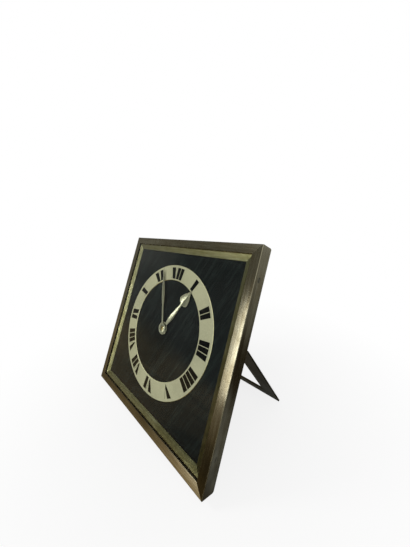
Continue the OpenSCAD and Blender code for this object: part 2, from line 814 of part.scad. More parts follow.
module third_wheel() {
    color([0.76, 0.64, 0.36]) stood()
        train_wheel(third_at, third_n, third_m, third_wheel_h, 2, 5, third_arbor_r);
}
module third_arbor() {
    color([0.6, 0.6, 0.6]) stood()
        train_arbor(third_at, third_arbor_r, third_leaves, centre_m, third_leaf_first, third_pinion_h);
}
module fourth_wheel() {
    color([0.76, 0.64, 0.36]) stood()
        train_wheel(fourth_at, fourth_n, fourth_m, fourth_wheel_h, 1.8, 5, fourth_arbor_r);
}
module fourth_arbor() {
    color([0.6, 0.6, 0.6]) stood()
        train_arbor(fourth_at, fourth_arbor_r, fourth_leaves, third_m, fourth_leaf_first, fourth_pinion_h);
}

// Escape wheel with club teeth that lean the way it turns
module escape_wheel() {
    tooth = [[0.74, -0.18], [0.97, 0.16], [1, 0.3], [0.9, 0.3], [0.74, 0.2]];
    color([0.76, 0.64, 0.36]) stood() translate([escape_at[0], escape_at[1], 0]) difference() {
        layer(front_in - escape_wheel_h, wheel_t) difference() {
            polygon([for (i = [0 : escape_n - 1], p = tooth)
                polar(escape_r * p[0], (i + p[1]) * 360 / escape_n)]);
            difference() {
                circle(r = escape_r * 0.6);
                circle(r = 1.1);
                for (a = [0 : 90 : 270]) rotate([0, 0, a]) translate([0, -0.3]) square([escape_r, 0.6]);
            }
        }
        inner_post([0, 0], escape_arbor_r + push_gap, escape_wheel_h - 1, escape_wheel_h + 2);
    }
}
module escape_arbor() {
    color([0.6, 0.6, 0.6]) stood()
        train_arbor(escape_at, escape_arbor_r, escape_leaves, fourth_m, escape_leaf_first, escape_pinion_h);
}

// The lever: its arms reach round the escape wheel, and its fork points at the balance
lever_arbor_r = 0.35;
stone_gap = 0.22;
stone_w = 0.45;

module pallet_lever() {
    fork = fork_reach - 1.5;
    color([0.6, 0.6, 0.6]) stood() union() {
        layer(front_in - lever_h, lever_t) union() {
            for (s = [-1, 1]) {
                tip = escape_at + polar(escape_r + stone_gap + 1, lever_dir + s * 30);
                in = (lever_at - tip) / norm(lever_at - tip);
                side = [-in[1], in[0]] * 0.4;
                end = tip - in * 0.2;
                polygon([end - side, end + side, lever_at + side * 0.8, lever_at - side * 0.8]);
            }
            translate(lever_at) circle(r = 0.45, $fn = fine);
            translate(lever_at) rotate([0, 0, balance_dir]) polygon([
                [0, -0.4], [fork - 1, -0.28], [fork, -0.7], [fork + 0.3, -0.6], [fork - 0.2, 0],
                [fork + 0.3, 0.6], [fork, 0.7], [fork - 1, 0.28], [0, 0.4]
            ]);
        }
        inner_post(lever_at, lever_arbor_r, end_shake, plate_gap - end_shake);
        inner_post(lever_at, 0.2, -pivot_len, plate_gap + pivot_len);
    }
}

module pallet_stones() {
    color([0.7, 0.1, 0.15]) stood() for (s = [0, 1])
        translate([escape_at[0], escape_at[1], 0]) rotate([0, 0, lever_dir + (s == 0 ? -30 : 30)])
            translate([escape_r + stone_gap, -stone_w / 2, front_in - lever_h + pass_gap / 3])
                cube([1, stone_w, 0.5]);
}

module banking_pins() {
    color([0.6, 0.6, 0.6]) stood() for (s = [-1, 1]) {
        at = lever_at + polar(3, balance_dir) + polar(0.95, balance_dir + s * 90);
        inner_post(at, 0.25, 0, lever_h + lever_t + 0.2);
    }
}

staff_r = 0.35;

module balance_wheel() {
    color([0.78, 0.68, 0.42]) stood() translate([balance_at[0], balance_at[1], 0]) union() {
        difference() {
            inner_post([0, 0], balance_r, balance_h, balance_h + 1.2);
            inner_post([0, 0], balance_r - 0.9, balance_h - 1, balance_h + 3);
        }
        layer(front_in - balance_h - 0.3, 0.6) difference() {
            union() {
                square([2 * balance_r - 1, 1], center = true);
                circle(r = 1.3, $fn = fine);
            }
            circle(r = staff_r + push_gap, $fn = fine);
        }
    }
}

module balance_staff() {
    color([0.6, 0.6, 0.6]) stood() translate([balance_at[0], balance_at[1], 0]) union() {
        inner_post([0, 0], staff_r, end_shake, plate_gap - end_shake);
        inner_post([0, 0], 0.2, -pivot_len, plate_gap + pivot_len);
        inner_post([0, 0], 1.5, roller_h, roller_h + 0.6);
        inner_post(polar(1.1, balance_dir + 180), 0.2, roller_h - 0.25, roller_h + eps);
        inner_post([0, 0], 0.65, hair_h - 0.2, hair_h + hair_t + 0.2);
    }
}

// The regulator's two pins straddle the hairspring's outer turn
hair_in = 0.95;
hair_r = 3.6;
curb_dir = 150;
curb_r = hair_in + (hair_r - hair_in) * (hair_turns - 1 + curb_dir / 360) / hair_turns;

module hairspring() {
    color([0.25, 0.3, 0.5]) stood() translate([balance_at[0], balance_at[1], 0])
        layer(front_in - hair_h, hair_t) spiral_2d(hair_in, hair_r, hair_turns, 0.1);
}

module hairspring_stud() {
    color([0.6, 0.6, 0.6]) stood()
        inner_post(balance_at + [hair_r + 0.42, 0], 0.35, hair_h - 0.2, plate_gap);
}

module regulator_lever() {
    color([0.6, 0.6, 0.6]) stood() translate([balance_at[0], balance_at[1], 0]) {
        difference() {
            layer(front_in - regulator_h, 0.6) union() {
                circle(r = 2.8);
                rotate([0, 0, curb_dir]) translate([0, -0.6]) square([curb_r + 0.6, 1.2]);
                rotate([0, 0, curb_dir - 180]) polygon([[0, -0.8], [9.5, -0.35], [9.5, 0.35], [0, 0.8]]);
            }
            inner_post([0, 0], 1.9 + run_gap, 0, plate_gap);
        }
        for (r = [curb_r - 0.165, curb_r + 0.165])
            inner_post(polar(r, curb_dir), 0.07, hair_h - 0.1, regulator_h + eps);
    }
}

module jewels() {
    color([0.7, 0.1, 0.15]) stood()
        for (at = [lever_at, balance_at], h = [-plate_t, plate_gap]) difference() {
            inner_post(at, 1 - push_gap, h, h + plate_t);
            inner_post(at, 0.2 + run_gap, h - 1, h + plate_t + 1);
        }
}

module movement_case() {
    color([0.72, 0.6, 0.34]) stood() difference() {
        union() {
            post([0, 0], case_r, back_z, cover_in);
            post([0, 0], case_r + case_flange, back_z, back_z - case_t);
        }
        post([0, 0], case_r - case_t, back_z + 1, cover_in - 1);
        for (at = case_screw_at) post(at, screw_r + run_gap, back_z + 1, back_z - case_t - 1);
    }
}

module rear_cover() {
    lap = 3;
    fit_r = case_r - case_t - drop_gap / 2;
    color([0.74, 0.62, 0.36]) stood() difference() {
        union() {
            post([0, 0], case_r, cover_in, cover_out);
            difference() {
                post([0, 0], fit_r, cover_in + lap, cover_in - eps);
                post([0, 0], fit_r - case_t, cover_in + lap + 1, cover_in);
            }
        }
        post([0, 0], centre_r + pass_gap, cover_in + 1, cover_out - 1);
        post(barrel_at, 2.2, cover_in + 1, cover_out - 1);
    }
}

module case_screws() {
    color([0.5, 0.48, 0.4]) stood()
        screw_heads(case_screw_at, back_z - case_t, screw_r, head_r, head_h, case_t + tray_t);
}

module movement_screws() {
    color([0.3, 0.34, 0.5]) stood()
        screw_heads(movement_screw_at, front_in, screw_r, head_r, head_h, plate_t + tray_t);
}

// The stand is drawn folded flat and swung open about its hinge
module stand() {
    color([0.35, 0.33, 0.24]) stood() translate([0, hinge_y, hinge_z]) rotate([stand_open, 0, 0]) union() {
        translate([0, 0, -stand_t / 2]) linear_extrude(stand_t) difference() {
            translate([-half, -stand_len]) square([2 * half, stand_len + tail]);
            translate([-half + stand_w, -stand_len + stand_w])
                square([2 * (half - stand_w), stand_len + tail - stand_w + 1]);
        }
        for (s = [-1, 1]) scale([s, 1, 1]) {
            translate([tab_in, 0, -stand_t / 2]) linear_extrude(stand_t) difference() {
                translate([0, -tab_len]) square([tab_w + 1, tab_len - knuckle_r - pass_gap]);
            }
            for (x = [tab_in, tab_in + tab_w - knuckle_w]) difference() {
                union() {
                    translate([x, 0, 0]) rotate([0, 90, 0]) cylinder(r = knuckle_r, h = knuckle_w);
                    translate([x, -knuckle_r - 1, -stand_t / 2]) cube([knuckle_w, knuckle_r + 1, stand_t]);
                }
                translate([x - 1, 0, 0]) rotate([0, 90, 0])
                    cylinder(r = hinge_pin_r + run_gap, h = knuckle_w + 2);
            }
        }
    }
}

module hinge_brackets() {
    mid_x = tab_in + knuckle_w + pass_gap;
    mid_w = tab_w - 2 * knuckle_w - 2 * pass_gap;
    color([0.5, 0.46, 0.34]) stood() for (s = [-1, 1]) scale([s, 1, 1]) difference() {
        union() {
            translate([leaf_x, hinge_y - 9.5, back_z - leaf_t]) cube([leaf_w_out - leaf_x, 12, leaf_t]);
            translate([mid_x, hinge_y, hinge_z]) rotate([0, 90, 0]) cylinder(r = knuckle_r, h = mid_w);
            translate([mid_x, hinge_y - 0.9, hinge_z]) cube([mid_w, 1.8, hinge_off - leaf_t + eps]);
        }
        translate([mid_x - 1, hinge_y, hinge_z]) rotate([0, 90, 0])
            cylinder(r = hinge_pin_r + push_gap, h = mid_w + 2);
        for (y = [-2.5, -7])
            post([leaf_x + 2.6, hinge_y + y], screw_r + run_gap, back_z + 1, back_z - leaf_t - 1);
    }
}

module hinge_pins() {
    color([0.6, 0.58, 0.5]) stood() for (s = [-1, 1]) scale([s, 1, 1])
        translate([tab_in - 0.2, hinge_y, hinge_z]) rotate([0, 90, 0])
            cylinder(r = hinge_pin_r, h = tab_w, $fn = fine);
}

module bracket_screws() {
    color([0.5, 0.48, 0.4]) stood()
        screw_heads(bracket_screw_at, back_z - leaf_t, screw_r, head_r, head_h, leaf_t + tray_t);
}

frame_top_bar();
frame_bottom_bar();
frame_left_bar();
frame_right_bar();
side_screws();
front_glass();
dial_slip();
dial_plate();
chapter_ring();
dial_posts();
back_tray();
hour_hand();
minute_hand();
hand_cap();
hour_wheel();
cannon_pinion();
minute_wheel();
minute_wheel_post();
centre_arbor();
setting_knob();
front_plate();
rear_plate();
pillars();
pillar_screws();
barrel();
barrel_cover();
mainspring();
barrel_arbor();
ratchet_wheel();
click();
click_screw();
click_spring();
winding_key();
centre_wheel();
third_wheel();
third_arbor();
fourth_wheel();
fourth_arbor();
escape_wheel();
escape_arbor();
pallet_lever();
pallet_stones();
banking_pins();
balance_wheel();
balance_staff();
hairspring();
hairspring_stud();
regulator_lever();
jewels();
movement_case();
rear_cover();
case_screws();
movement_screws();
stand();
hinge_brackets();
hinge_pins();
bracket_screws();
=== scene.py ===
"""Square table clock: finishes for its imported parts, rounded edges, printed numerals, hands and a studio."""
import json
import math

import bmesh
import bpy
from mathutils import Matrix, Vector


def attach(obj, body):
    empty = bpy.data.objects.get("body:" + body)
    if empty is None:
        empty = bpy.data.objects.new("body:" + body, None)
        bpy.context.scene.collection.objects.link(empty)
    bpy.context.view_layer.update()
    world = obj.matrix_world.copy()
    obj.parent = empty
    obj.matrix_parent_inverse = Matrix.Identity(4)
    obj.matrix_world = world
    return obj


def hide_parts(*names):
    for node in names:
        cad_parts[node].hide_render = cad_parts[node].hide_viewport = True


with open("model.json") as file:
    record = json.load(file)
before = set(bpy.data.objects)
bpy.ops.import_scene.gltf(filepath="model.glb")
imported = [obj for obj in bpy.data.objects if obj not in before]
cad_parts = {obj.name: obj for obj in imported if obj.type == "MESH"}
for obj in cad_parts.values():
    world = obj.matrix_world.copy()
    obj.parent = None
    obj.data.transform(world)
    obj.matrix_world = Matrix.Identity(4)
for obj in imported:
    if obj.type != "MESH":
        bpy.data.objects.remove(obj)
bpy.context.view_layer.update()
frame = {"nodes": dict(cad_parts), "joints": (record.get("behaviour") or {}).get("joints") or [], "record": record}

bl_info = {
    "name": "Square table clock",
    "version": (1, 0, 0),
    "blender": (4, 5, 0),
    "location": "View3D > Sidebar > Clock",
    "description": "Finishes, rounded edges, numerals, hands and a studio for a square table clock",
    "category": "Object",
}

MM = 0.001
MERGE = 1e-6  # points nearer than this are one point, in metres
FLAT = math.radians(0.6)  # faces that turn less than this are one face
SHARP = math.radians(25)  # edges that turn more than this are rounded
FACING = 0.99  # a normal with this share of a direction faces that way
CREASE, TURNED_CREASE = 12.0, 30.0  # degrees up to which flat and turned pieces are shaded smooth
SLANT = math.radians(24)  # lean of the streaks in the dial's lacquer
WIDE_TURN, SMALL_TURN = 240, 64  # steps round a wide and a small turned piece
BARS = ("frame_top_bar", "frame_bottom_bar", "frame_left_bar", "frame_right_bar")


def face_axes():
    """The clock's own axes in the row frame: X to the right, Y up the face, Z towards the viewer."""
    hub = next(joint for joint in frame["joints"] if joint["name"] == "minute_hand_turn")
    out = -Vector(hub["axis"]).normalized()
    across = Vector((1, 0, 0))
    corners = [v.co for bar in BARS for v in frame["nodes"][bar].data.vertices]
    front = max(out.dot(co) for co in corners)
    pivot = Vector(hub["pos_m"])
    origin = pivot + out * (front - out.dot(pivot))
    axes = Matrix((across, out.cross(across), out)).transposed().to_4x4()
    return Matrix.Translation(origin) @ axes


FACE = face_axes()
TO_FACE = FACE.inverted()


def span(node):
    """Lowest and highest corner of a part along the clock's own axes, in metres."""
    points = [TO_FACE @ v.co for v in frame["nodes"][node].data.vertices]
    return tuple(Vector(pick(p[i] for p in points) for i in range(3)) for pick in (min, max))


def hub_of(joint_name):
    """Where a joint's axis meets the face, in millimetres along the clock's own axes."""
    joint = next(joint for joint in frame["joints"] if joint["name"] == joint_name)
    at = TO_FACE @ Vector(joint["pos_m"])
    return at.x / MM, at.y / MM


def tone(red, green, blue):
    """A screen colour from 0 to 255 as the linear colour that shaders take."""
    def linear(value):
        value /= 255
        return value / 12.92 if value <= 0.04045 else ((value + 0.055) / 1.055) ** 2.4
    return linear(red), linear(green), linear(blue)


def shade(colour, share, tint=(1, 1, 1)):
    """A share of a colour, tinted and no brighter than white."""
    return tuple(min(c * share * t, 1) for c, t in zip(colour, tint))


# Shader helpers

def add(tree, kind, inputs=None, **settings):
    """A shader node with its settings, and its inputs set or linked."""
    node = tree.nodes.new(kind)
    for key, value in settings.items():
        setattr(node, key, value)
    for key, value in (inputs or {}).items():
        if isinstance(value, bpy.types.NodeSocket):
            tree.links.new(value, node.inputs[key])
        else:
            node.inputs[key].default_value = value
    return node


def face_vector(tree):
    """Object coordinates turned to the clock's own axes, in millimetres."""
    place = add(tree, "ShaderNodeTexCoord").outputs["Object"]
    return add(tree, "ShaderNodeMapping", {
        "Vector": place, "Location": FACE.translation, "Rotation": FACE.to_euler(),
        "Scale": (MM, MM, MM)}, vector_type="TEXTURE").outputs["Vector"]


def math_node(tree, operation, first, second=0.0):
    return add(tree, "ShaderNodeMath", {0: first, 1: second}, operation=operation).outputs[0]


def noise(tree, vector, size, detail=3.0, roughness=0.55):
    """Noise whose features are about size millimetres."""
    return add(tree, "ShaderNodeTexNoise", {
        "Vector": vector, "Scale": 1 / size, "Detail": detail, "Roughness": roughness}).outputs[0]


def remap(tree, value, low, high, start, end):
    return add(tree, "ShaderNodeMapRange", {
        "Value": value, "From Min": low, "From Max": high, "To Min": start, "To Max": end}).outputs[0]


def mix(tree, factor, first, second, mode="MIX"):
    """Mixes two colours, each a socket or a linear colour."""
    node = add(tree, "ShaderNodeMix", {0: factor}, data_type="RGBA", blend_type=mode)
    for index, value in ((6, first), (7, second)):
        if isinstance(value, bpy.types.NodeSocket):
            tree.links.new(value, node.inputs[index])
        else:
            node.inputs[index].default_value = (*value[:3], 1)
    return node.outputs[2]


def distance(tree, vector, place):
    return add(tree, "ShaderNodeVectorMath", {0: vector, 1: place}, operation="DISTANCE").outputs["Value"]


def square_reach(tree, x, y):
    """Distance from the clock's middle, taken square to the nearest side."""
    return math_node(tree, "MAXIMUM", math_node(tree, "ABSOLUTE", x), math_node(tree, "ABSOLUTE", y))


def rays(tree, *kinds):
    """One for a ray of any of these kinds, and nought for the others."""
    path = add(tree, "ShaderNodeLightPath").outputs
    found = path[kinds[0]]
    for kind in kinds[1:]:
        found = math_node(tree, "MAXIMUM", found, path[kind])
    return found


def mix_surface(tree, factor, first, second):
    """Puts a mix of two shader nodes on the surface."""
    both = add(tree, "ShaderNodeMixShader", {0: factor, 1: first.outputs[0], 2: second.outputs[0]})
    tree.links.new(both.outputs[0], tree.nodes["Material Output"].inputs["Surface"])


def grain_vector(tree, vector, lay, centre=(0.0, 0.0), stretch=0.02):
    """Coordinates that are stretched along the lay of a brushed or turned finish."""
    if lay == "plain":
        return vector
    if lay == "slant":
        vector = add(tree, "ShaderNodeMapping", {"Vector": vector, "Rotation": (0, 0, SLANT)}).outputs[0]
    x, y, z = add(tree, "ShaderNodeSeparateXYZ", {"Vector": vector}).outputs
    if lay == "sides":
        across = square_reach(tree, x, y)
        along = math_node(tree, "ADD", x, math_node(tree, "MULTIPLY", y, 1.4))
    elif lay in ("upright", "slant"):
        across, along = x, y
    elif lay == "level":
        across, along = y, x
    else:
        x = math_node(tree, "SUBTRACT", x, centre[0])
        y = math_node(tree, "SUBTRACT", y, centre[1])
        squares = math_node(tree, "ADD", math_node(tree, "MULTIPLY", x, x), math_node(tree, "MULTIPLY", y, y))
        across = math_node(tree, "SQRT", squares)
        along = math_node(tree, "ARCTAN2", y, x)
    along = math_node(tree, "MULTIPLY", along, stretch)
    return add(tree, "ShaderNodeCombineXYZ", {0: across, 1: along, 2: z}).outputs[0]


def new_material(name):
    """A material and its tree and main shader."""
    material = bpy.data.materials.new(name)
    material.use_nodes = True
    tree = material.node_tree
    return material, tree, tree.nodes["Principled BSDF"]


def metal(name, colour, rough, lay="plain", centre=(0.0, 0.0), patina=0.25, brush=0.3, line=0.25,
          fleck=0.0, streak=0.0, streak_wide=1.6, satin=0.0, warm=(1.0, 1.0, 1.0), relief=0.5, bands=(),
          patch=None):
    """A metal with blotches of patina, streaks, a brushed or turned grain and dark flecks.

    The pale streaks have the given colour, and the dark ones a share of it that is tinted by warm. Line
    and streak_wide are the widths of the grain's lines and of the streaks in millimetres, relief is how
    deep the grain is felt, and satin is how far it draws a highlight out across its lines. Each band is a
    painted highlight or painted shadow: a distance from the clock's middle, the shares of a tint inside and
    outside of it, and the tint. Patch is a place, how far a soft patch of painted shade or painted
    highlight reaches around it, and its tint.
    """
    material, tree, shader = new_material(name)
    vector = face_vector(tree)
    blotch = noise(tree, vector, 15, 5, 0.62)
    speckle = noise(tree, vector, 1.1, 4, 0.7)
    grain = noise(tree, grain_vector(tree, vector, lay, centre), line, 3, 0.65)
    base = mix(tree, remap(tree, blotch, 0.36, 0.62, 0, 1), shade(colour, 1 - patina, warm),
               shade(colour, 1 + patina * 0.6))
    if streak:
        drawn = noise(tree, grain_vector(tree, vector, lay, centre, 0.05), streak_wide, 4, 0.6)
        base = mix(tree, remap(tree, drawn, 0.42, 0.66, 0, 0.85), base, shade(colour, 1 - streak, warm))
        base = mix(tree, remap(tree, drawn, 0.46, 0.3, 0, 0.6), base, shade(colour, 1 + streak))
    base = mix(tree, remap(tree, grain, 0.3, 0.7, brush * 0.5, 0), base, shade(colour, 0.4))
    base = mix(tree, remap(tree, speckle, 0.56, 0.72, 0, fleck), base, shade(colour, 0.25))
    if bands:
        x, y = add(tree, "ShaderNodeSeparateXYZ", {"Vector": vector}).outputs[:2]
        out, blur = square_reach(tree, x, y), 0.15
        for at, inside, outside, tint in bands:
            share = remap(tree, out, at - blur, at + blur, inside, outside)
            base = mix(tree, share, base, tint, "MULTIPLY")
    if patch:
        place, reach, tint = patch
        ragged = reach * 0.2
        away = math_node(tree, "ADD", distance(tree, vector, place),
                         remap(tree, blotch, 0.3, 0.7, -ragged, ragged))
        base = mix(tree, remap(tree, away, ragged, reach, 1, 0), base, tint, "MULTIPLY")
    tree.links.new(base, shader.inputs["Base Color"])
    shine = math_node(tree, "ADD", remap(tree, grain, 0.25, 0.75, rough - 0.06, rough + 0.06),
                      remap(tree, blotch, 0.3, 0.7, 0.05, -0.05))
    tree.links.new(shine, shader.inputs["Roughness"])
    height = math_node(tree, "ADD", math_node(tree, "MULTIPLY", grain, brush),
                       remap(tree, speckle, 0.5, 0.8, fleck * 0.6, 0))
    bump = add(tree, "ShaderNodeBump", {"Height": height, "Strength": relief, "Distance": 0.02 * MM})
    tree.links.new(bump.outputs[0], shader.inputs["Normal"])
    shader.inputs["Metallic"].default_value = 1.0
    if satin:
        shader.inputs["Anisotropic"].default_value = satin
        across = (FACE.col[1] if lay == "level" else FACE.col[0]).xyz + FACE.col[2].xyz
        lines = add(tree, "ShaderNodeCombineXYZ", {i: across.normalized()[i] for i in range(3)})
        tree.links.new(lines.outputs[0], shader.inputs["Tangent"])
    return material


def lacquer(name, colour, rough, lay="plain", streak=0.4, size=0.5, specular=0.5, stretch=0.02,
            tint=(1, 1, 1)):
    """A satin lacquer with streaks of a tinted, paler colour in it and a slightly uneven surface."""
    material, tree, shader = new_material(name)
    vector = face_vector(tree)
    grain = noise(tree, grain_vector(tree, vector, lay, stretch=stretch), size, 5, 0.7)
    cloud = noise(tree, vector, 28, 3, 0.5)
    pale = tuple(min((c * (1 + 2.6 * streak) + 0.004 * streak) * t, 1) for c, t in zip(colour, tint))
    base = mix(tree, remap(tree, cloud, 0.35, 0.65, 0, 0.5), colour, shade(colour, 0.6))
    base = mix(tree, remap(tree, grain, 0.48, 0.8, 0, 1), base, pale)
    tree.links.new(base, shader.inputs["Base Color"])
    tree.links.new(remap(tree, grain, 0.3, 0.7, rough - 0.05, rough + 0.08), shader.inputs["Roughness"])
    bump = add(tree, "ShaderNodeBump", {"Height": grain, "Strength": 0.15, "Distance": 0.004 * MM})
    tree.links.new(bump.outputs[0], shader.inputs["Normal"])
    shader.inputs["Specular IOR Level"].default_value = specular
    return material


def dress(node, material):
    """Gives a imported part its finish."""
    mesh = frame["nodes"][node].data
    mesh.materials.clear()
    mesh.materials.append(material)


# Mesh helpers

def finish_mesh(bm, name, materials, body, slot, replaced=(), smooth=CREASE):
    """Writes a mesh in the row frame to an object that rides on a body of the clock."""
    mesh = bpy.data.meshes.new(name)
    bm.to_mesh(mesh)
    bm.free()
    for material in materials:
        mesh.materials.append(material)
    mesh.shade_smooth()
    mesh.set_sharp_from_angle(angle=math.radians(smooth))
    piece = bpy.data.objects.new(name, mesh)
    bpy.context.scene.collection.objects.link(piece)
    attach(piece, body)
    if replaced:
        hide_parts(*replaced)


def body_of(node):
    return next(body for body, nodes in frame["record"]["behaviour"]["bodies"].items() if node in nodes)


def slot_of(node):
    return next(part["material_slot"] for part in frame["record"]["subparts"] if part["node"] == node)


def merged_copy(node):
    """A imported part's own shape, with its loose triangles merged to whole faces."""
    bm = bmesh.new()
    bm.from_mesh(frame["nodes"][node].data)
    bmesh.ops.remove_doubles(bm, verts=bm.verts, dist=MERGE)
    bmesh.ops.dissolve_limit(bm, angle_limit=FLAT, verts=bm.verts, edges=bm.edges)
    for face in bm.faces:
        face.material_index = 0
    return bm


def draw_in(bm, reach, wide, front=-1.0):
    """Draws a square opening's edge in to reach, with what is within wide of it and in front of a level."""
    places = {v: TO_FACE @ v.co for v in bm.verts}
    start = min(max(abs(at.x), abs(at.y)) for at in places.values())
    for v, at in places.items():
        if at.z > front and max(abs(at.x), abs(at.y)) < start + wide:
            step = Vector((math.copysign(start - reach, at.x), math.copysign(start - reach, at.y), 0))
            v.co -= FACE.to_3x3() @ step


def ease_corners(bm, half, back, size):
    """Eases the rear corners of the square frame with three narrow cuts each, from the side to the back."""
    lean = 0.7
    for side_x, side_y in ((1, 1), (1, -1), (-1, 1), (-1, -1)):
        for turn in (22.5, 45, 67.5):
            rise, run = math.cos(math.radians(turn)), math.sin(math.radians(turn))
            place = Vector((side_x * half, side_y * (half - size * (1 - rise)), back + size * (1 - run)))
            out = Vector((side_x * lean, side_y * rise, -run))
            cut = bmesh.ops.bisect_plane(
                bm, geom=bm.verts[:] + bm.edges[:] + bm.faces[:], dist=MERGE, plane_co=FACE @ place,
                plane_no=FACE.to_3x3() @ out, clear_outer=True)
            rim = [e for e in cut["geom_cut"] if isinstance(e, bmesh.types.BMEdge)]
            if rim:
                bmesh.ops.holes_fill(bm, edges=rim, sides=0)


def softened(node, name, width, materials, segments=2, chosen=None, smooth=CREASE, before=None, after=None,
             paint=None):
    """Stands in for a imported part: its own shape, with its sharp edges rounded to a width in millimetres.

    Chosen picks the edges by their ends, before and after are further shape steps, and paint picks a face's
    material from its middle and its normal. Places are in millimetres along the clock's own axes.
    """
    bm = merged_copy(node)
    if before:
        before(bm)
    edges = [e for e in bm.edges if len(e.link_faces) == 2 and e.calc_face_angle(0) > SHARP]
    if chosen:
        edges = [e for e in edges if chosen(*(TO_FACE @ v.co / MM for v in e.verts))]
    bmesh.ops.bevel(bm, geom=edges, offset=width * MM, offset_type="OFFSET", segments=segments,
                    profile=0.5, affect="EDGES", clamp_overlap=True, material=-1)
    if after:
        after(bm)
    if paint:
        for face in bm.faces:
            face.material_index = paint(TO_FACE @ face.calc_center_median() / MM,
                                        TO_FACE.to_3x3() @ face.normal)
    finish_mesh(bm, name, materials, body_of(node), slot_of(node), (node,), smooth)


def bevelled_blade(node, name, width, drop, materials):
    """Stands in for a hand: its own outline, with a flat top inside a broad bevel.

    Width and drop are the bevel's size in millimetres. The materials are the top's and the bevel's.
    """
    bm = merged_copy(node)
    out = FACE.col[2].xyz
    tops = [face for face in bm.faces if face.normal.dot(out) > FACING]
    rims = {v for face in tops for v in face.verts}
    bevels = bmesh.ops.inset_region(bm, faces=tops, thickness=width * MM, use_even_offset=True,
                                    use_boundary=True)["faces"]
    lowered = rims & {v for face in bevels for v in face.verts}
    bmesh.ops.translate(bm, verts=list(lowered), vec=-out * drop * MM)
    for face in bevels:
        face.material_index = 1
    finish_mesh(bm, name, materials, body_of(node), slot_of(node), (node,), smooth=8)


def plate(bm, outline, bottom, thick):
    """A flat closed plate from an outline in millimetres on the clock's face."""
    corners = [bm.verts.new((x * MM, y * MM, bottom * MM)) for x, y in outline]
    face = bm.faces.new(corners)
    face.normal_update()
    if face.normal.z > 0:
        face.normal_flip()
    raised = bmesh.ops.extrude_face_region(bm, geom=[face])["geom"]
    top = [v for v in raised if isinstance(v, bmesh.types.BMVert)]
    bmesh.ops.translate(bm, verts=top, vec=(0, 0, thick * MM))
    bmesh.ops.recalc_face_normals(bm, faces=bm.faces)


def turned(bm, profile, steps):
    """A turned shape from a profile of radius and height in millimetres, closed at the axis or as a ring."""
    verts = [bm.verts.new((r * MM, 0, z * MM)) for r, z in profile]
    edges = [bm.edges.new(pair) for pair in zip(verts, verts[1:])]
    if profile[0][0] > 0:
        edges.append(bm.edges.new((verts[-1], verts[0])))
    bmesh.ops.spin(bm, geom=verts + edges, cent=(0, 0, 0), axis=(0, 0, 1), angle=math.tau, steps=steps,
                   use_merge=True)
    bmesh.ops.remove_doubles(bm, verts=bm.verts, dist=MERGE / 10)
    bmesh.ops.recalc_face_normals(bm, faces=bm.faces)


def polar(radius, degrees):
    """A point on the dial: degrees run clockwise from twelve."""
    angle = math.radians(90 - degrees)
    return radius * math.cos(angle), radius * math.sin(angle)


# Settings

class ClockFinishes(bpy.types.PropertyGroup):
    """Colours of the clock's finishes"""
    bronze: bpy.props.FloatVectorProperty(
        name="Frame bronze", description="Aged bronze of the frame and stand", subtype="COLOR",
        default=tone(113, 110, 95), min=0, max=1)
    # Painted highlight: a lighter metal on the frame's front right edges
    edge_highlight: bpy.props.FloatVectorProperty(
        name="Edge highlight", description="Painted highlight on the frame's front right edges",
        subtype="COLOR", default=tone(150, 145, 122), min=0, max=1)
    slip: bpy.props.FloatVectorProperty(
        name="Slip", description="Sloping metal slip around the dial", subtype="COLOR",
        default=tone(112, 108, 82), min=0, max=1)
    dial: bpy.props.FloatVectorProperty(
        name="Dial", description="Blue-black lacquer of the dial plate", subtype="COLOR",
        default=tone(14, 20, 21), min=0, max=1)
    ring: bpy.props.FloatVectorProperty(
        name="Chapter ring", description="Pale gilt of the raised chapter ring", subtype="COLOR",
        default=tone(193, 187, 152), min=0, max=1)
    ink: bpy.props.FloatVectorProperty(
        name="Numerals", description="Black of the printed numerals", subtype="COLOR",
        default=tone(4, 4, 3), min=0, max=1)
    hands: bpy.props.FloatVectorProperty(
        name="Hands", description="Pale metal of the two hands", subtype="COLOR",
        default=tone(146, 144, 124), min=0, max=1)
    brass: bpy.props.FloatVectorProperty(
        name="Brass", description="Brass of the cap, knob, key and movement", subtype="COLOR",
        default=tone(196, 168, 104), min=0, max=1)


class ClockShapes(bpy.types.PropertyGroup):
    """Sizes of what is added to the clock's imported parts"""
    arris: bpy.props.FloatProperty(
        name="Rounded edge", description="Width of the rounding along the frame's edges",
        default=0.18 * MM, min=0.02 * MM, max=0.3 * MM, unit="LENGTH")
    frame_face: bpy.props.FloatProperty(
        name="Frame face", description="Width of the frame's front face, with its lip over the glass",
        default=6.8 * MM, min=5 * MM, max=8 * MM, unit="LENGTH")
    slip_reach: bpy.props.FloatProperty(
        name="Slip reach", description="Distance from the clock's middle to the slip's inner edge",
        default=68 * MM, min=66 * MM, max=70 * MM, unit="LENGTH")
    corner: bpy.props.FloatProperty(
        name="Rear corner", description="Size of the easing at the frame's four rear corners",
        default=2 * MM, min=0.2 * MM, max=3 * MM, unit="LENGTH")
    numeral_in: bpy.props.FloatProperty(
        name="Numeral foot", description="Radius of the numerals' feet", default=44.6 * MM, min=44 * MM,
        max=48 * MM, unit="LENGTH")
    numeral_out: bpy.props.FloatProperty(
        name="Numeral top", description="Radius of the numerals' tops", default=54.9 * MM, min=50 * MM,
        max=56 * MM, unit="LENGTH")
    numeral_bar: bpy.props.FloatProperty(
        name="Numeral bar", description="Width of a numeral's thick bar as an angle round the ring",
        default=math.radians(4.4), min=math.radians(2), max=math.radians(5), subtype="ANGLE")
    numeral_gap: bpy.props.FloatProperty(
        name="Numeral gap", description="Gap between a numeral's strokes as an angle round the ring",
        default=math.radians(0.65), min=math.radians(0.3), max=math.radians(1.5), subtype="ANGLE")
    print_thick: bpy.props.FloatProperty(
        name="Print thickness", description="Thickness of the printed numerals", default=0.04 * MM,
        min=0.01 * MM, max=0.1 * MM, unit="LENGTH")


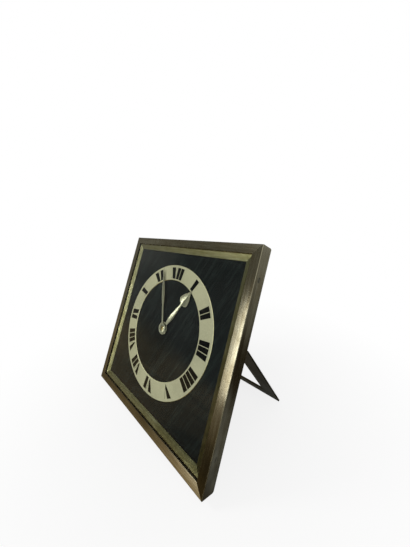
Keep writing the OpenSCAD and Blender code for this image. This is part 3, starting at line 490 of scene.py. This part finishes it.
class ClockStudio(bpy.types.PropertyGroup):
    """The studio around the clock"""
    floor: bpy.props.FloatVectorProperty(
        name="Floor", description="Colour of the pale floor", subtype="COLOR", default=(0.86, 0.86, 0.85),
        min=0, max=1)
    flag: bpy.props.FloatVectorProperty(
        name="Hanging cloth", description="Dark cloth that only the glass and the metal reflect",
        subtype="COLOR", default=(0.26, 0.26, 0.23), min=0, max=1)
    table: bpy.props.FloatVectorProperty(
        name="Floor cloth", description="Brown cloth in front, which only the glass and the metal reflect",
        subtype="COLOR", default=(0.34, 0.26, 0.14), min=0, max=1)
    fill: bpy.props.FloatProperty(
        name="Fill light", description="Strength of the even light from all round", subtype="FACTOR",
        default=0.45, min=0, max=2)
    key: bpy.props.FloatProperty(
        name="Key light", description="Light of the left-hand lamp on a white surface that faces it",
        subtype="FACTOR", default=0.5, min=0, max=4)
    window: bpy.props.FloatProperty(
        name="Window light", subtype="FACTOR", default=0.46, min=0, max=4,
        description="Light of the narrow lamp whose reflection runs down the right-hand bar")


# Operators, one for each group of parts

class CLOCK_OT_frame(bpy.types.Operator):
    """Rounds the edges of the four frame bars and gives them aged, brushed bronze"""
    bl_idname = "clock.frame"
    bl_label = "Frame bars"

    def execute(self, context):
        finishes, shapes = context.scene.clock_finishes, context.scene.clock_shapes
        warm = (1.0, 0.9, 0.76)
        low, high = span("frame_right_bar")
        half, back, reach = high.x, low.z, high.x - shapes.frame_face
        edge_wide, lip_thick = 0.45 * MM, 0.81 * MM
        # Where the painted highlight on the front right edges begins
        highlight_x, highlight_z = half / MM - 0.6, -1

        def paint(at, turn):
            """The faces are bronze, the arrises a darker copy as painted shade, and the front one at the right a
            lighter copy as a painted highlight.
            """
            if max(abs(part) for part in turn) > FACING:
                return 0
            return 2 if at.x > highlight_x and at.z > highlight_z else 1

        low_right = (76, -77, 0)  # painted highlight on the level bars near this corner, painted shade on the upright ones
        # A lighter patch as painted highlight and a darker patch as painted shade
        corner_highlight, dark = (low_right, 58, (2.3, 2.25, 2.2)), (low_right, 38, (0.4, 0.38, 0.3))
        for lay, bars, patch in (("level", BARS[:2], corner_highlight), ("upright", BARS[2:], dark)):
            bronze = metal(f"aged_bronze_{lay}", finishes.bronze, 0.26, lay, patina=0.25, brush=0.3, line=0.3,
                           fleck=0.5, streak=0.3, streak_wide=1.8, satin=0.75, warm=warm, patch=patch)
            # Painted shade: a darker copy of the bronze on the rounded edges
            shaded = metal(f"shaded_edge_{lay}", shade(finishes.bronze, 0.5), 0.35, lay, patina=0.3, brush=0.2,
                           line=0.3, fleck=0.4, streak=0.3, warm=warm)
            # Painted highlight: a lighter metal on the right bar's front outer edge
            edge_highlight = metal(f"highlit_edge_{lay}", finishes.edge_highlight, 0.34, lay, patina=0.35, brush=0.2, line=0.3,
                         fleck=0.5, streak=0.3)
            for bar in bars:
                softened(bar, bar.replace("frame_", "").replace("_bar", "_frame_bar"), shapes.arris / MM,
                         (bronze, shaded, edge_highlight), segments=3, paint=paint,
                         before=lambda bm: draw_in(bm, reach, edge_wide, -lip_thick),
                         after=lambda bm: ease_corners(bm, half, back, shapes.corner))
        dress("side_screws", metal("toned_screw", shade(finishes.bronze, 0.7), 0.4, fleck=0.4))
        return {"FINISHED"}


class CLOCK_OT_dial(bpy.types.Operator):
    """Finishes the slip, the dial plate and what carries it"""
    bl_idname = "clock.dial"
    bl_label = "Dial and slip"

    def execute(self, context):
        finishes, reach = context.scene.clock_finishes, context.scene.clock_shapes.slip_reach
        inner, round_wide, edge_wide = reach / MM, 0.14, 0.8 * MM
        rim_edge, rim_slope = inner + 0.16, 0.2
        # Painted highlight along the slip's inner band
        painted_highlight_band = (inner + 1.5, 1, 0, (1.12, 1.18, 1.3))
        # Painted shadow along the slip's outer edge, in the gap under the frame's lip
        painted_shadow_band = (inner + 4.85, 0, 1, (0.22, 0.17, 0.1))
        # Painted shade near the slip's lower right corner
        shaded_corner = ((76, -72, 0), 95, (0.42, 0.41, 0.38))
        slip = metal("champagne_slip", finishes.slip, 0.37, "sides", patina=0.3, brush=0.4, line=0.35,
                     fleck=0.4, relief=0.04, streak=0.35, streak_wide=1.1, warm=(0.95, 0.95, 0.72),
                     patch=shaded_corner, bands=(painted_highlight_band, painted_shadow_band))
        # Painted highlight: a lighter copy of the slip on its rounded inner edge
        rim = metal("slip_rim", shade(finishes.slip, 1.5), 0.3, "sides", patina=0.15)

        def paint(at, turn):
            """The rounded edge next to the dial is the rim, painted lighter as a highlight, and all else the slip.
            """
            return int(max(abs(at.x), abs(at.y)) < rim_edge and turn.z > rim_slope)

        softened("dial_slip", "slip", round_wide, (slip, rim), paint=paint,
                 before=lambda bm: draw_in(bm, reach, edge_wide))
        dress("dial_plate", lacquer("dial_lacquer", finishes.dial, 0.42, "slant", streak=0.9, size=2.4,
                                    specular=0.03, stretch=0.08, tint=(1.15, 1.1, 0.95)))
        dress("dial_posts", metal("post_brass", finishes.brass, 0.3))
        return {"FINISHED"}


class CLOCK_OT_ring(bpy.types.Operator):
    """Turns the chapter ring with polished rims, whose lighter colour is partly a painted highlight, and a satin
    gilt top
    """
    bl_idname = "clock.ring"
    bl_label = "Chapter ring"

    def execute(self, context):
        finishes = context.scene.clock_finishes
        high = span("chapter_ring")[1]
        clear, rim, soft = 0.01, 0.4, 0.1  # gap to the dial, width of a rim and of its outer edge
        foot, top, outer = span("dial_plate")[1].z / MM + clear, high.z / MM, high.x / MM
        step = top - rim + soft * 1.6
        places = [TO_FACE @ v.co for v in frame["nodes"]["chapter_ring"].data.vertices]
        inner = min(at.xy.length for at in places if abs(at.z - high.z) < 0.01 * MM) / MM - rim
        bm = bmesh.new()
        turned(bm, [
            (inner, foot), (inner, top - rim), (inner + soft, step), (inner + rim, top),
            (outer - rim, top), (outer - soft, step), (outer, top - rim), (outer, foot)], WIDE_TURN)
        for face in bm.faces:
            radius = face.calc_center_median().xy.length / MM
            face.material_index = int(not (inner + rim < radius < outer - rim))
        bmesh.ops.transform(bm, matrix=FACE, verts=bm.verts)
        gilt = lacquer("ring_gilt", finishes.ring, 0.45, "plain", streak=0.05, size=1.6, specular=0.2)
        # Polished rims; their lighter colour is a painted highlight
        rims = metal("ring_rim_highlight", shade(finishes.ring, 1.5), 0.22, "turned", patina=0.05)
        finish_mesh(bm, "chapter_ring_turned", (gilt, rims), "clock_case", "ring_gilt", ("chapter_ring",),
                    TURNED_CREASE)
        return {"FINISHED"}


class CLOCK_OT_numerals(bpy.types.Operator):
    """Prints the twelve numerals on the chapter ring, with their feet towards the centre"""
    bl_idname = "clock.numerals"
    bl_label = "Numerals"

    NUMERALS = ("I", "II", "III", "IIII", "V", "VI", "VII", "VIII", "IX", "X", "XI", "XII")

    def strokes(self, letter, bar):
        """A letter's width in degrees, and its outlines: degrees from its left edge, shares of its height."""
        hair, slant = 0.34, bar * 1.13  # widths of the thin and of the thick slanting strokes
        if letter == "I":
            return bar, [[(0, 1), (bar, 1), (bar, 0), (0, 0)]]
        if letter == "V":
            wide, point, bend = bar * 1.9, bar * 1.36, (bar * 1.5, 0.27)
            return wide, [
                [(0, 1), (slant, 1), bend, (point + 0.15, 0), (point - 0.15, 0)],
                [(wide - hair, 1), (wide, 1), (point + 0.2, 0), (point - 0.1, 0)]]
        wide = bar * 1.8
        return wide, [
            [(0, 1), (slant, 1), (wide, 0), (wide - slant, 0)],
            [(wide - hair, 1), (wide, 1), (hair, 0), (0, 0)]]

    def execute(self, context):
        finishes, shapes = context.scene.clock_finishes, context.scene.clock_shapes
        top = span("chapter_ring")[1].z / MM
        inner, outer = shapes.numeral_in / MM, shapes.numeral_out / MM
        bar, gap = math.degrees(shapes.numeral_bar), math.degrees(shapes.numeral_gap)
        bm = bmesh.new()
        for hour, letters in enumerate(self.NUMERALS, 1):
            drawn = [self.strokes(letter, bar) for letter in letters]
            wide = sum(part[0] for part in drawn) + gap * (len(drawn) - 1)
            start = hour * 30 - wide / 2
            for advance, outlines in drawn:
                for layer, outline in enumerate(outlines):
                    points = [polar(inner + (outer - inner) * share, start + angle)
                              for angle, share in outline]
                    # The second stroke is printed thinner, so that no two tops lie in one plane
                    plate(bm, points, top, shapes.print_thick / MM * (1 - 0.2 * layer))
                start += advance + gap
        bmesh.ops.transform(bm, matrix=FACE, verts=bm.verts)
        ink = lacquer("numeral_ink", finishes.ink, 0.5, "plain", streak=0.1, size=0.8, specular=0.02)
        finish_mesh(bm, "hour_numerals", (ink,), "clock_case", "dial_black")
        return {"FINISHED"}


class CLOCK_OT_hands(bpy.types.Operator):
    """Bevels the tops of the two hands and turns the domed cap over their bosses"""
    bl_idname = "clock.hands"
    bl_label = "Hands and cap"

    def execute(self, context):
        finishes = context.scene.clock_finishes
        flat = metal("hand_flat", finishes.hands, 0.3, patina=0.15, brush=0.15, line=0.5, fleck=0.35,
                     relief=0.1)
        # Painted highlight: a lighter copy of the hands' metal on their bevels
        edge = metal("hand_edge_highlight", shade(finishes.hands, 1.5), 0.42, patina=0.1, relief=0.05)
        drop = 0.16
        for node, bevel in (("hour_hand", 0.34), ("minute_hand", 0.3)):
            bevelled_blade(node, f"{node}_blade", bevel, drop, (flat, edge))
        low, high = span("hand_cap")
        bottom, top, radius = low.z / MM, high.z / MM, high.x / MM
        # The cap from its foot over a rim, a groove and the dome: radius and share of the height
        profile = [(0, 0), (radius, 0), (radius, 0.3), (radius - 0.12, 0.42), (radius - 0.42, 0.42),
                   (radius - 0.5, 0.25), (radius - 0.62, 0.3), (radius * 0.5, 0.78), (radius * 0.25, 0.96),
                   (0, 1)]
        bm = bmesh.new()
        turned(bm, [(r, bottom + (top - bottom) * share) for r, share in profile], SMALL_TURN)
        bmesh.ops.transform(bm, matrix=FACE, verts=bm.verts)
        cap = metal("cap_brass", tone(136, 124, 88), 0.3, "turned", patina=0.15, brush=0.2, line=0.15,
                    fleck=0.2)
        finish_mesh(bm, "domed_cap", (cap,), "minute_hand_set", "polished_brass", ("hand_cap",),
                    TURNED_CREASE)
        return {"FINISHED"}


class CLOCK_OT_glass(bpy.types.Operator):
    """Glazes the front: the glass is plainly clear to shadows and to the light of the parts behind it"""
    bl_idname = "clock.glass"
    bl_label = "Front glass"

    def execute(self, context):
        material, tree, shader = new_material("front_glass")
        shader.inputs["Base Color"].default_value = (0.97, 0.985, 0.98, 1)
        shader.inputs["Transmission Weight"].default_value = 1.0
        shader.inputs["Roughness"].default_value = 0.0
        shader.inputs["IOR"].default_value = 1.33
        clear = add(tree, "ShaderNodeBsdfTransparent", {"Color": (0.95, 0.97, 0.96, 1)})
        mix_surface(tree, rays(tree, "Is Shadow Ray", "Is Glossy Ray", "Is Diffuse Ray"), shader, clear)
        dress("front_glass", material)
        return {"FINISHED"}


class CLOCK_OT_movement(bpy.types.Operator):
    """Finishes the wheels, plates, springs and jewels of the movement"""
    bl_idname = "clock.movement"
    bl_label = "Movement"

    STEEL_PARTS = {
        "bright_steel": ("cannon_pinion", "minute_wheel_post", "centre_arbor", "barrel_arbor",
                         "ratchet_wheel", "click", "third_arbor", "fourth_arbor", "escape_arbor",
                         "pallet_lever", "banking_pins", "balance_staff", "hairspring_stud",
                         "regulator_lever"),
        "blued_steel": ("pillar_screws", "click_screw", "movement_screws", "hairspring"),
        "spring_steel": ("mainspring", "click_spring"),
    }
    WHEEL_JOINTS = {
        "centre_wheel": "centre_wheel_turn", "third_wheel": "third_wheel_turn",
        "fourth_wheel": "fourth_wheel_turn", "escape_wheel": "escape_wheel_turn",
        "minute_wheel": "minute_wheel_turn", "hour_wheel": "hour_hand_turn",
        "barrel": "barrel_turn", "barrel_cover": "barrel_turn", "balance_wheel": "balance_swing",
    }

    def execute(self, context):
        brass = context.scene.clock_finishes.brass
        steels = {
            "bright_steel": metal("bright_steel", tone(190, 190, 188), 0.24, patina=0.06, brush=0.2,
                                  line=0.2),
            "blued_steel": metal("blued_steel", tone(52, 66, 118), 0.22, patina=0.25, brush=0.15, line=0.3),
            "spring_steel": metal("spring_steel", tone(128, 134, 144), 0.3, patina=0.12, brush=0.2,
                                  line=0.2),
        }
        for finish, nodes in self.STEEL_PARTS.items():
            for node in nodes:
                dress(node, steels[finish])
        for node, joint in self.WHEEL_JOINTS.items():
            dress(node, metal(f"{node}_brass", brass, 0.26, "turned", hub_of(joint), patina=0.08, brush=0.35,
                              line=0.12))
        plates = metal("plate_brass", brass, 0.3, "level", patina=0.1, brush=0.35, line=0.2)
        for node in ("front_plate", "rear_plate", "pillars"):
            dress(node, plates)
        ruby = lacquer("ruby", tone(150, 16, 44), 0.08, streak=0.1, size=0.4)
        for node in ("jewels", "pallet_stones"):
            dress(node, ruby)
        return {"FINISHED"}


class CLOCK_OT_back(bpy.types.Operator):
    """Finishes the tray, the movement's drum, its cover and screws, the setting knob and the winding key"""
    bl_idname = "clock.back"
    bl_label = "Back"

    def execute(self, context):
        finishes = context.scene.clock_finishes
        key_at = hub_of("winding_key_turn")
        tray = lacquer("tray_lacquer", tone(44, 40, 31), 0.42, "level", streak=0.35, size=0.5)
        drum = metal("drum_brass", shade(finishes.brass, 0.72), 0.34, "turned", patina=0.14, brush=0.35,
                     line=0.3, fleck=0.25)
        steel = metal("screw_steel", tone(165, 160, 148), 0.28, patina=0.12, brush=0.2, line=0.2, fleck=0.2)
        bright = metal("knob_brass", finishes.brass, 0.24, "turned", patina=0.12, brush=0.25, line=0.2,
                       fleck=0.2)
        keyed = metal("key_brass", finishes.brass, 0.26, "turned", key_at, patina=0.12, brush=0.2, line=0.3,
                      fleck=0.2)
        rear, holes = span("rear_cover")[0].z / MM + 0.01, 20  # level of the cover's back, reach of its holes
        softened("back_tray", "tray", 0.15, (tray,))
        softened("movement_case", "drum", 0.15, (drum,))
        softened("rear_cover", "drum_cover", 0.6, (drum,), segments=4,
                 chosen=lambda a, b: min(a.z, b.z) < rear and a.xy.length > holes)
        softened("case_screws", "drum_screws", 0.1, (steel,))
        softened("setting_knob", "knob", 0.12, (bright,), smooth=TURNED_CREASE)
        softened("winding_key", "key", 0.18, (keyed,), smooth=TURNED_CREASE)
        return {"FINISHED"}


class CLOCK_OT_stand(bpy.types.Operator):
    """Rounds the stand and its brackets, and finishes the hinge pins and screws"""
    bl_idname = "clock.stand"
    bl_label = "Folding stand"

    def execute(self, context):
        finishes = context.scene.clock_finishes
        # Painted shade: the stand takes a darker copy of the frame's bronze
        bronze = metal("stand_bronze_shaded", shade(finishes.bronze, 0.45), 0.4, "upright", patina=0.25, brush=0.35,
                       line=0.35, fleck=0.5, streak=0.3, warm=(1.0, 0.95, 0.7))
        softened("stand", "plate_stand", 0.2, (bronze,), segments=3)
        softened("hinge_brackets", "brackets", 0.12, (bronze,))
        steel = metal("pin_steel", tone(150, 146, 132), 0.3, patina=0.1, brush=0.2, line=0.2, fleck=0.2)
        dress("hinge_pins", steel)
        softened("bracket_screws", "hinge_screws", 0.1, (steel,))
        return {"FINISHED"}


class CLOCK_OT_studio(bpy.types.Operator):
    """Lays the pale floor, hangs the cloths and the lamps and sets the camera"""
    bl_idname = "clock.studio"
    bl_label = "Studio"

    # The camera along the clock's own axes: place in millimetres, direction of view and upward direction
    CAMERA_AT = (151.275, 45.4675, 119.324)
    LOOK = (-0.693, 0.053, -0.719)
    UP = (-0.142, 0.968, 0.208)
    # The lens in millimetres and half of the floor's side in metres
    LENS = 14.234
    FLOOR_REACH = 3.0

    def sheet(self, name, corners, material):
        """A flat sheet from its corners in metres."""
        bm = bmesh.new()
        bm.faces.new([bm.verts.new(corner) for corner in corners])
        mesh = bpy.data.meshes.new(name)
        bm.to_mesh(mesh)
        bm.free()
        mesh.materials.append(material)
        piece = bpy.data.objects.new(name, mesh)
        bpy.context.scene.collection.objects.link(piece)
        return piece

    def floor(self, colour):
        """A pale matt floor that runs into the white background and keeps the clock's soft shadow."""
        material, tree, shader = new_material("studio_floor")
        material.cycles.emission_sampling = "NONE"
        place = add(tree, "ShaderNodeTexCoord").outputs["Object"]
        mottle = noise(tree, place, 0.05, 4)
        tree.links.new(mix(tree, remap(tree, mottle, 0.35, 0.65, 0, 1), shade(colour, 0.985), colour),
                       shader.inputs["Base Color"])
        shader.inputs["Roughness"].default_value = 0.85
        shader.inputs["Specular IOR Level"].default_value = 0.1
        white = add(tree, "ShaderNodeEmission", {"Strength": 1.0})
        glow = remap(tree, distance(tree, place, (0, 0, 0)), 0.06, 0.24, 0.83, 1)
        mix_surface(tree, math_node(tree, "MULTIPLY", self.seen(tree), glow), shader, white)
        wide = self.FLOOR_REACH
        self.sheet("studio_floor", [(-wide, -wide, 0), (wide, -wide, 0), (wide, wide, 0), (-wide, wide, 0)],
                   material)

    def seen(self, tree):
        """One where the eye, a reflection or the glass looks, and nought for the light on surfaces."""
        looks = rays(tree, "Is Camera Ray", "Is Glossy Ray", "Is Transmission Ray")
        bounces = add(tree, "ShaderNodeLightPath").outputs["Diffuse Depth"]
        return math_node(tree, "MULTIPLY", looks, math_node(tree, "LESS_THAN", bounces, 0.5))

    def world(self, fill):
        """White to the eye, in metal and through glass, and a lower even light on surfaces."""
        world = bpy.data.worlds.new("studio_world")
        world.use_nodes = True
        tree = world.node_tree
        background = tree.nodes["Background"]
        background.inputs["Color"].default_value = (1, 1, 1, 1)
        tree.links.new(remap(tree, self.seen(tree), 0, 1, fill, 1), background.inputs["Strength"])
        bpy.context.scene.world = world

    def cloth(self, name, centre, stops, foot=None):
        """A cloth's own glow with soft folds: distances from a place, each with a colour and its level.

        Foot is a colour at the foot of a hanging cloth, which reaches higher the further out it is.
        """
        material, tree, _ = new_material(name)
        material.cycles.emission_sampling = "NONE"
        place = add(tree, "ShaderNodeTexCoord").outputs["Object"]
        folds = remap(tree, noise(tree, place, 0.16, 3, 0.5), 0.35, 0.65, 0.65, 1.3)
        away = distance(tree, place, centre)
        ramp = add(tree, "ShaderNodeValToRGB", {"Fac": away})
        for index, (at, colour, level) in enumerate(stops):
            stop = ramp.color_ramp.elements[index] if index < 2 else ramp.color_ramp.elements.new(at)
            stop.position, stop.color = at, (*shade(colour, level), 1)
        colour = ramp.outputs[0]
        if foot:
            height = add(tree, "ShaderNodeSeparateXYZ", {"Vector": place}).outputs[2]
            steep = math_node(tree, "DIVIDE", height, away)
            colour = mix(tree, remap(tree, steep, 0.09, 0.2, 1, 0), colour, foot)
        glow = add(tree, "ShaderNodeEmission", {"Color": colour, "Strength": folds})
        tree.links.new(glow.outputs[0], tree.nodes["Material Output"].inputs["Surface"])
        return material

    def flags(self, dark, brown):
        """Cloths that only reflections show: two hang at the front left, and three lie round the clock, one of
        them a dark sheet of painted shade under it.
        """
        left, middle, right = Vector((-0.9, -0.05, 0)), Vector((-0.4, -0.66, 0)), Vector((0.02, -0.8, 0))
        tall = Vector((0, 0, 1))
        hung = self.cloth("hanging_cloth", right, ((0.3, dark, 0.08), (0.55, dark, 0.65), (0.95, dark, 1.5)),
                          foot=shade(brown, 1.35))
        front = self.cloth("front_cloth", (0.03, -0.15, 0), (
            (0.0, brown, 0.28), (0.045, brown, 0.33), (0.075, brown, 1.1), (0.2, brown, 1.1),
            (0.8, brown, 1.2)))
        beside = self.cloth("side_cloth", (0.08, 0.0, 0), (
            (0.015, dark, 1.3), (0.035, dark, 1.2), (0.05, brown, 0.25), (0.12, brown, 0.17),
            (0.19, dark, 1.5), (0.4, dark, 2.4)))
        # Painted shade: a dark sheet under the clock stands for its shadow in reflections
        shade_under = self.cloth("under_shade_cloth", (0, 0, 0), ((0.0, brown, 0.5), (0.08, dark, 0.6)))
        edge, side, near, far = 0.078, 0.9, -0.03, -0.8

        def laid(name, x_low, x_high, y_low, y_high, material, up=0.5 * MM):
            """A cloth that lies just above the floor."""
            return self.sheet(name, [(x_low, y_low, up), (x_high, y_low, up), (x_high, y_high, up),
                                     (x_low, y_high, up)], material)

        sheets = (
            self.sheet("hanging_flag", [left, middle, middle + tall, left + tall], hung),
            self.sheet("window_flag", [middle, right, right + tall, middle + tall], hung),
            laid("front_flag", -side, edge, far, near, front),
            laid("side_flag", edge, side, far, 0.7, beside),
            laid("under_shade_flag", -edge, edge, near, 0.065, shade_under))
        for flag in sheets:
            flag.visible_camera = flag.visible_diffuse = flag.visible_shadow = False
            flag.visible_volume_scatter = False

    def lamp(self, name, at, wide, high, level, target, glossy=True, diffuse=True, colour=(1, 1, 1)):
        """A soft rectangular lamp: places in metres in the row frame.

        Level is how bright it makes a white surface at the target that faces it.
        """
        place, aim = Vector(at), Vector(target)
        data = bpy.data.lights.new(name, "AREA")
        data.shape, data.size, data.size_y = "RECTANGLE", wide, high
        data.energy = level * math.pi * math.pi * (place - aim).length_squared
        data.color = colour
        lamp = bpy.data.objects.new(name, data)
        turn = (place - aim).to_track_quat("Z", "Y").to_matrix().to_4x4()
        lamp.matrix_world = Matrix.Translation(place) @ turn
        lamp.visible_glossy, lamp.visible_diffuse = glossy, diffuse
        bpy.context.scene.collection.objects.link(lamp)

    def camera(self):
        data = bpy.data.cameras.new("studio_camera")
        data.sensor_width, data.lens = 36.0, self.LENS
        data.clip_start, data.clip_end = 0.01, 20
        look = Vector(self.LOOK).normalized()
        right = look.cross(Vector(self.UP)).normalized()
        up = right.cross(look)
        turn = Matrix((right, up, -look)).transposed().to_4x4()
        camera = bpy.data.objects.new("studio_camera", data)
        camera.matrix_world = FACE @ Matrix.Translation(Vector(self.CAMERA_AT) * MM) @ turn
        bpy.context.scene.collection.objects.link(camera)
        bpy.context.scene.camera = camera

    def execute(self, context):
        studio = context.scene.clock_studio
        context.scene.view_settings.view_transform = "Standard"
        self.floor(studio.floor)
        self.world(studio.fill)
        self.flags(studio.flag, studio.table)
        self.lamp("key_lamp", (-0.62, -0.48, 0.62), 0.22, 0.22, studio.key, (0, 0, 0.07), glossy=False)
        self.lamp("window_lamp", (-0.175, -0.6, 0.235), 0.12, 0.32, studio.window, (0.07, -0.03, 0.08),
                  diffuse=False, colour=(1, 0.99, 0.95))
        self.camera()
        return {"FINISHED"}


class CLOCK_PT_panel(bpy.types.Panel):
    """Steps and settings for the table clock"""
    bl_idname = "CLOCK_PT_panel"
    bl_label = "Table clock"
    bl_space_type = "VIEW_3D"
    bl_region_type = "UI"
    bl_category = "Clock"

    def draw(self, context):
        for operator in OPERATORS:
            self.layout.operator(operator.bl_idname)
        for group in (context.scene.clock_finishes, context.scene.clock_shapes, context.scene.clock_studio):
            box = self.layout.box()
            for name in group.bl_rna.properties.keys():
                if name not in {"rna_type", "name"}:
                    box.prop(group, name)


GROUPS = {"clock_finishes": ClockFinishes, "clock_shapes": ClockShapes, "clock_studio": ClockStudio}
OPERATORS = (CLOCK_OT_frame, CLOCK_OT_dial, CLOCK_OT_ring, CLOCK_OT_numerals, CLOCK_OT_hands, CLOCK_OT_glass,
             CLOCK_OT_movement, CLOCK_OT_back, CLOCK_OT_stand, CLOCK_OT_studio)


def register():
    for cls in (*GROUPS.values(), *OPERATORS, CLOCK_PT_panel):
        bpy.utils.register_class(cls)
    for name, group in GROUPS.items():
        setattr(bpy.types.Scene, name, bpy.props.PointerProperty(type=group))


def unregister():
    for name in GROUPS:
        delattr(bpy.types.Scene, name)
    for cls in reversed((*GROUPS.values(), *OPERATORS, CLOCK_PT_panel)):
        bpy.utils.unregister_class(cls)


def main():
    register()
    bpy.ops.clock.frame()
    bpy.ops.clock.dial()
    bpy.ops.clock.ring()
    bpy.ops.clock.numerals()
    bpy.ops.clock.hands()
    bpy.ops.clock.glass()
    bpy.ops.clock.movement()
    bpy.ops.clock.back()
    bpy.ops.clock.stand()
    bpy.ops.clock.studio()


if __name__ == "__main__":
    main()
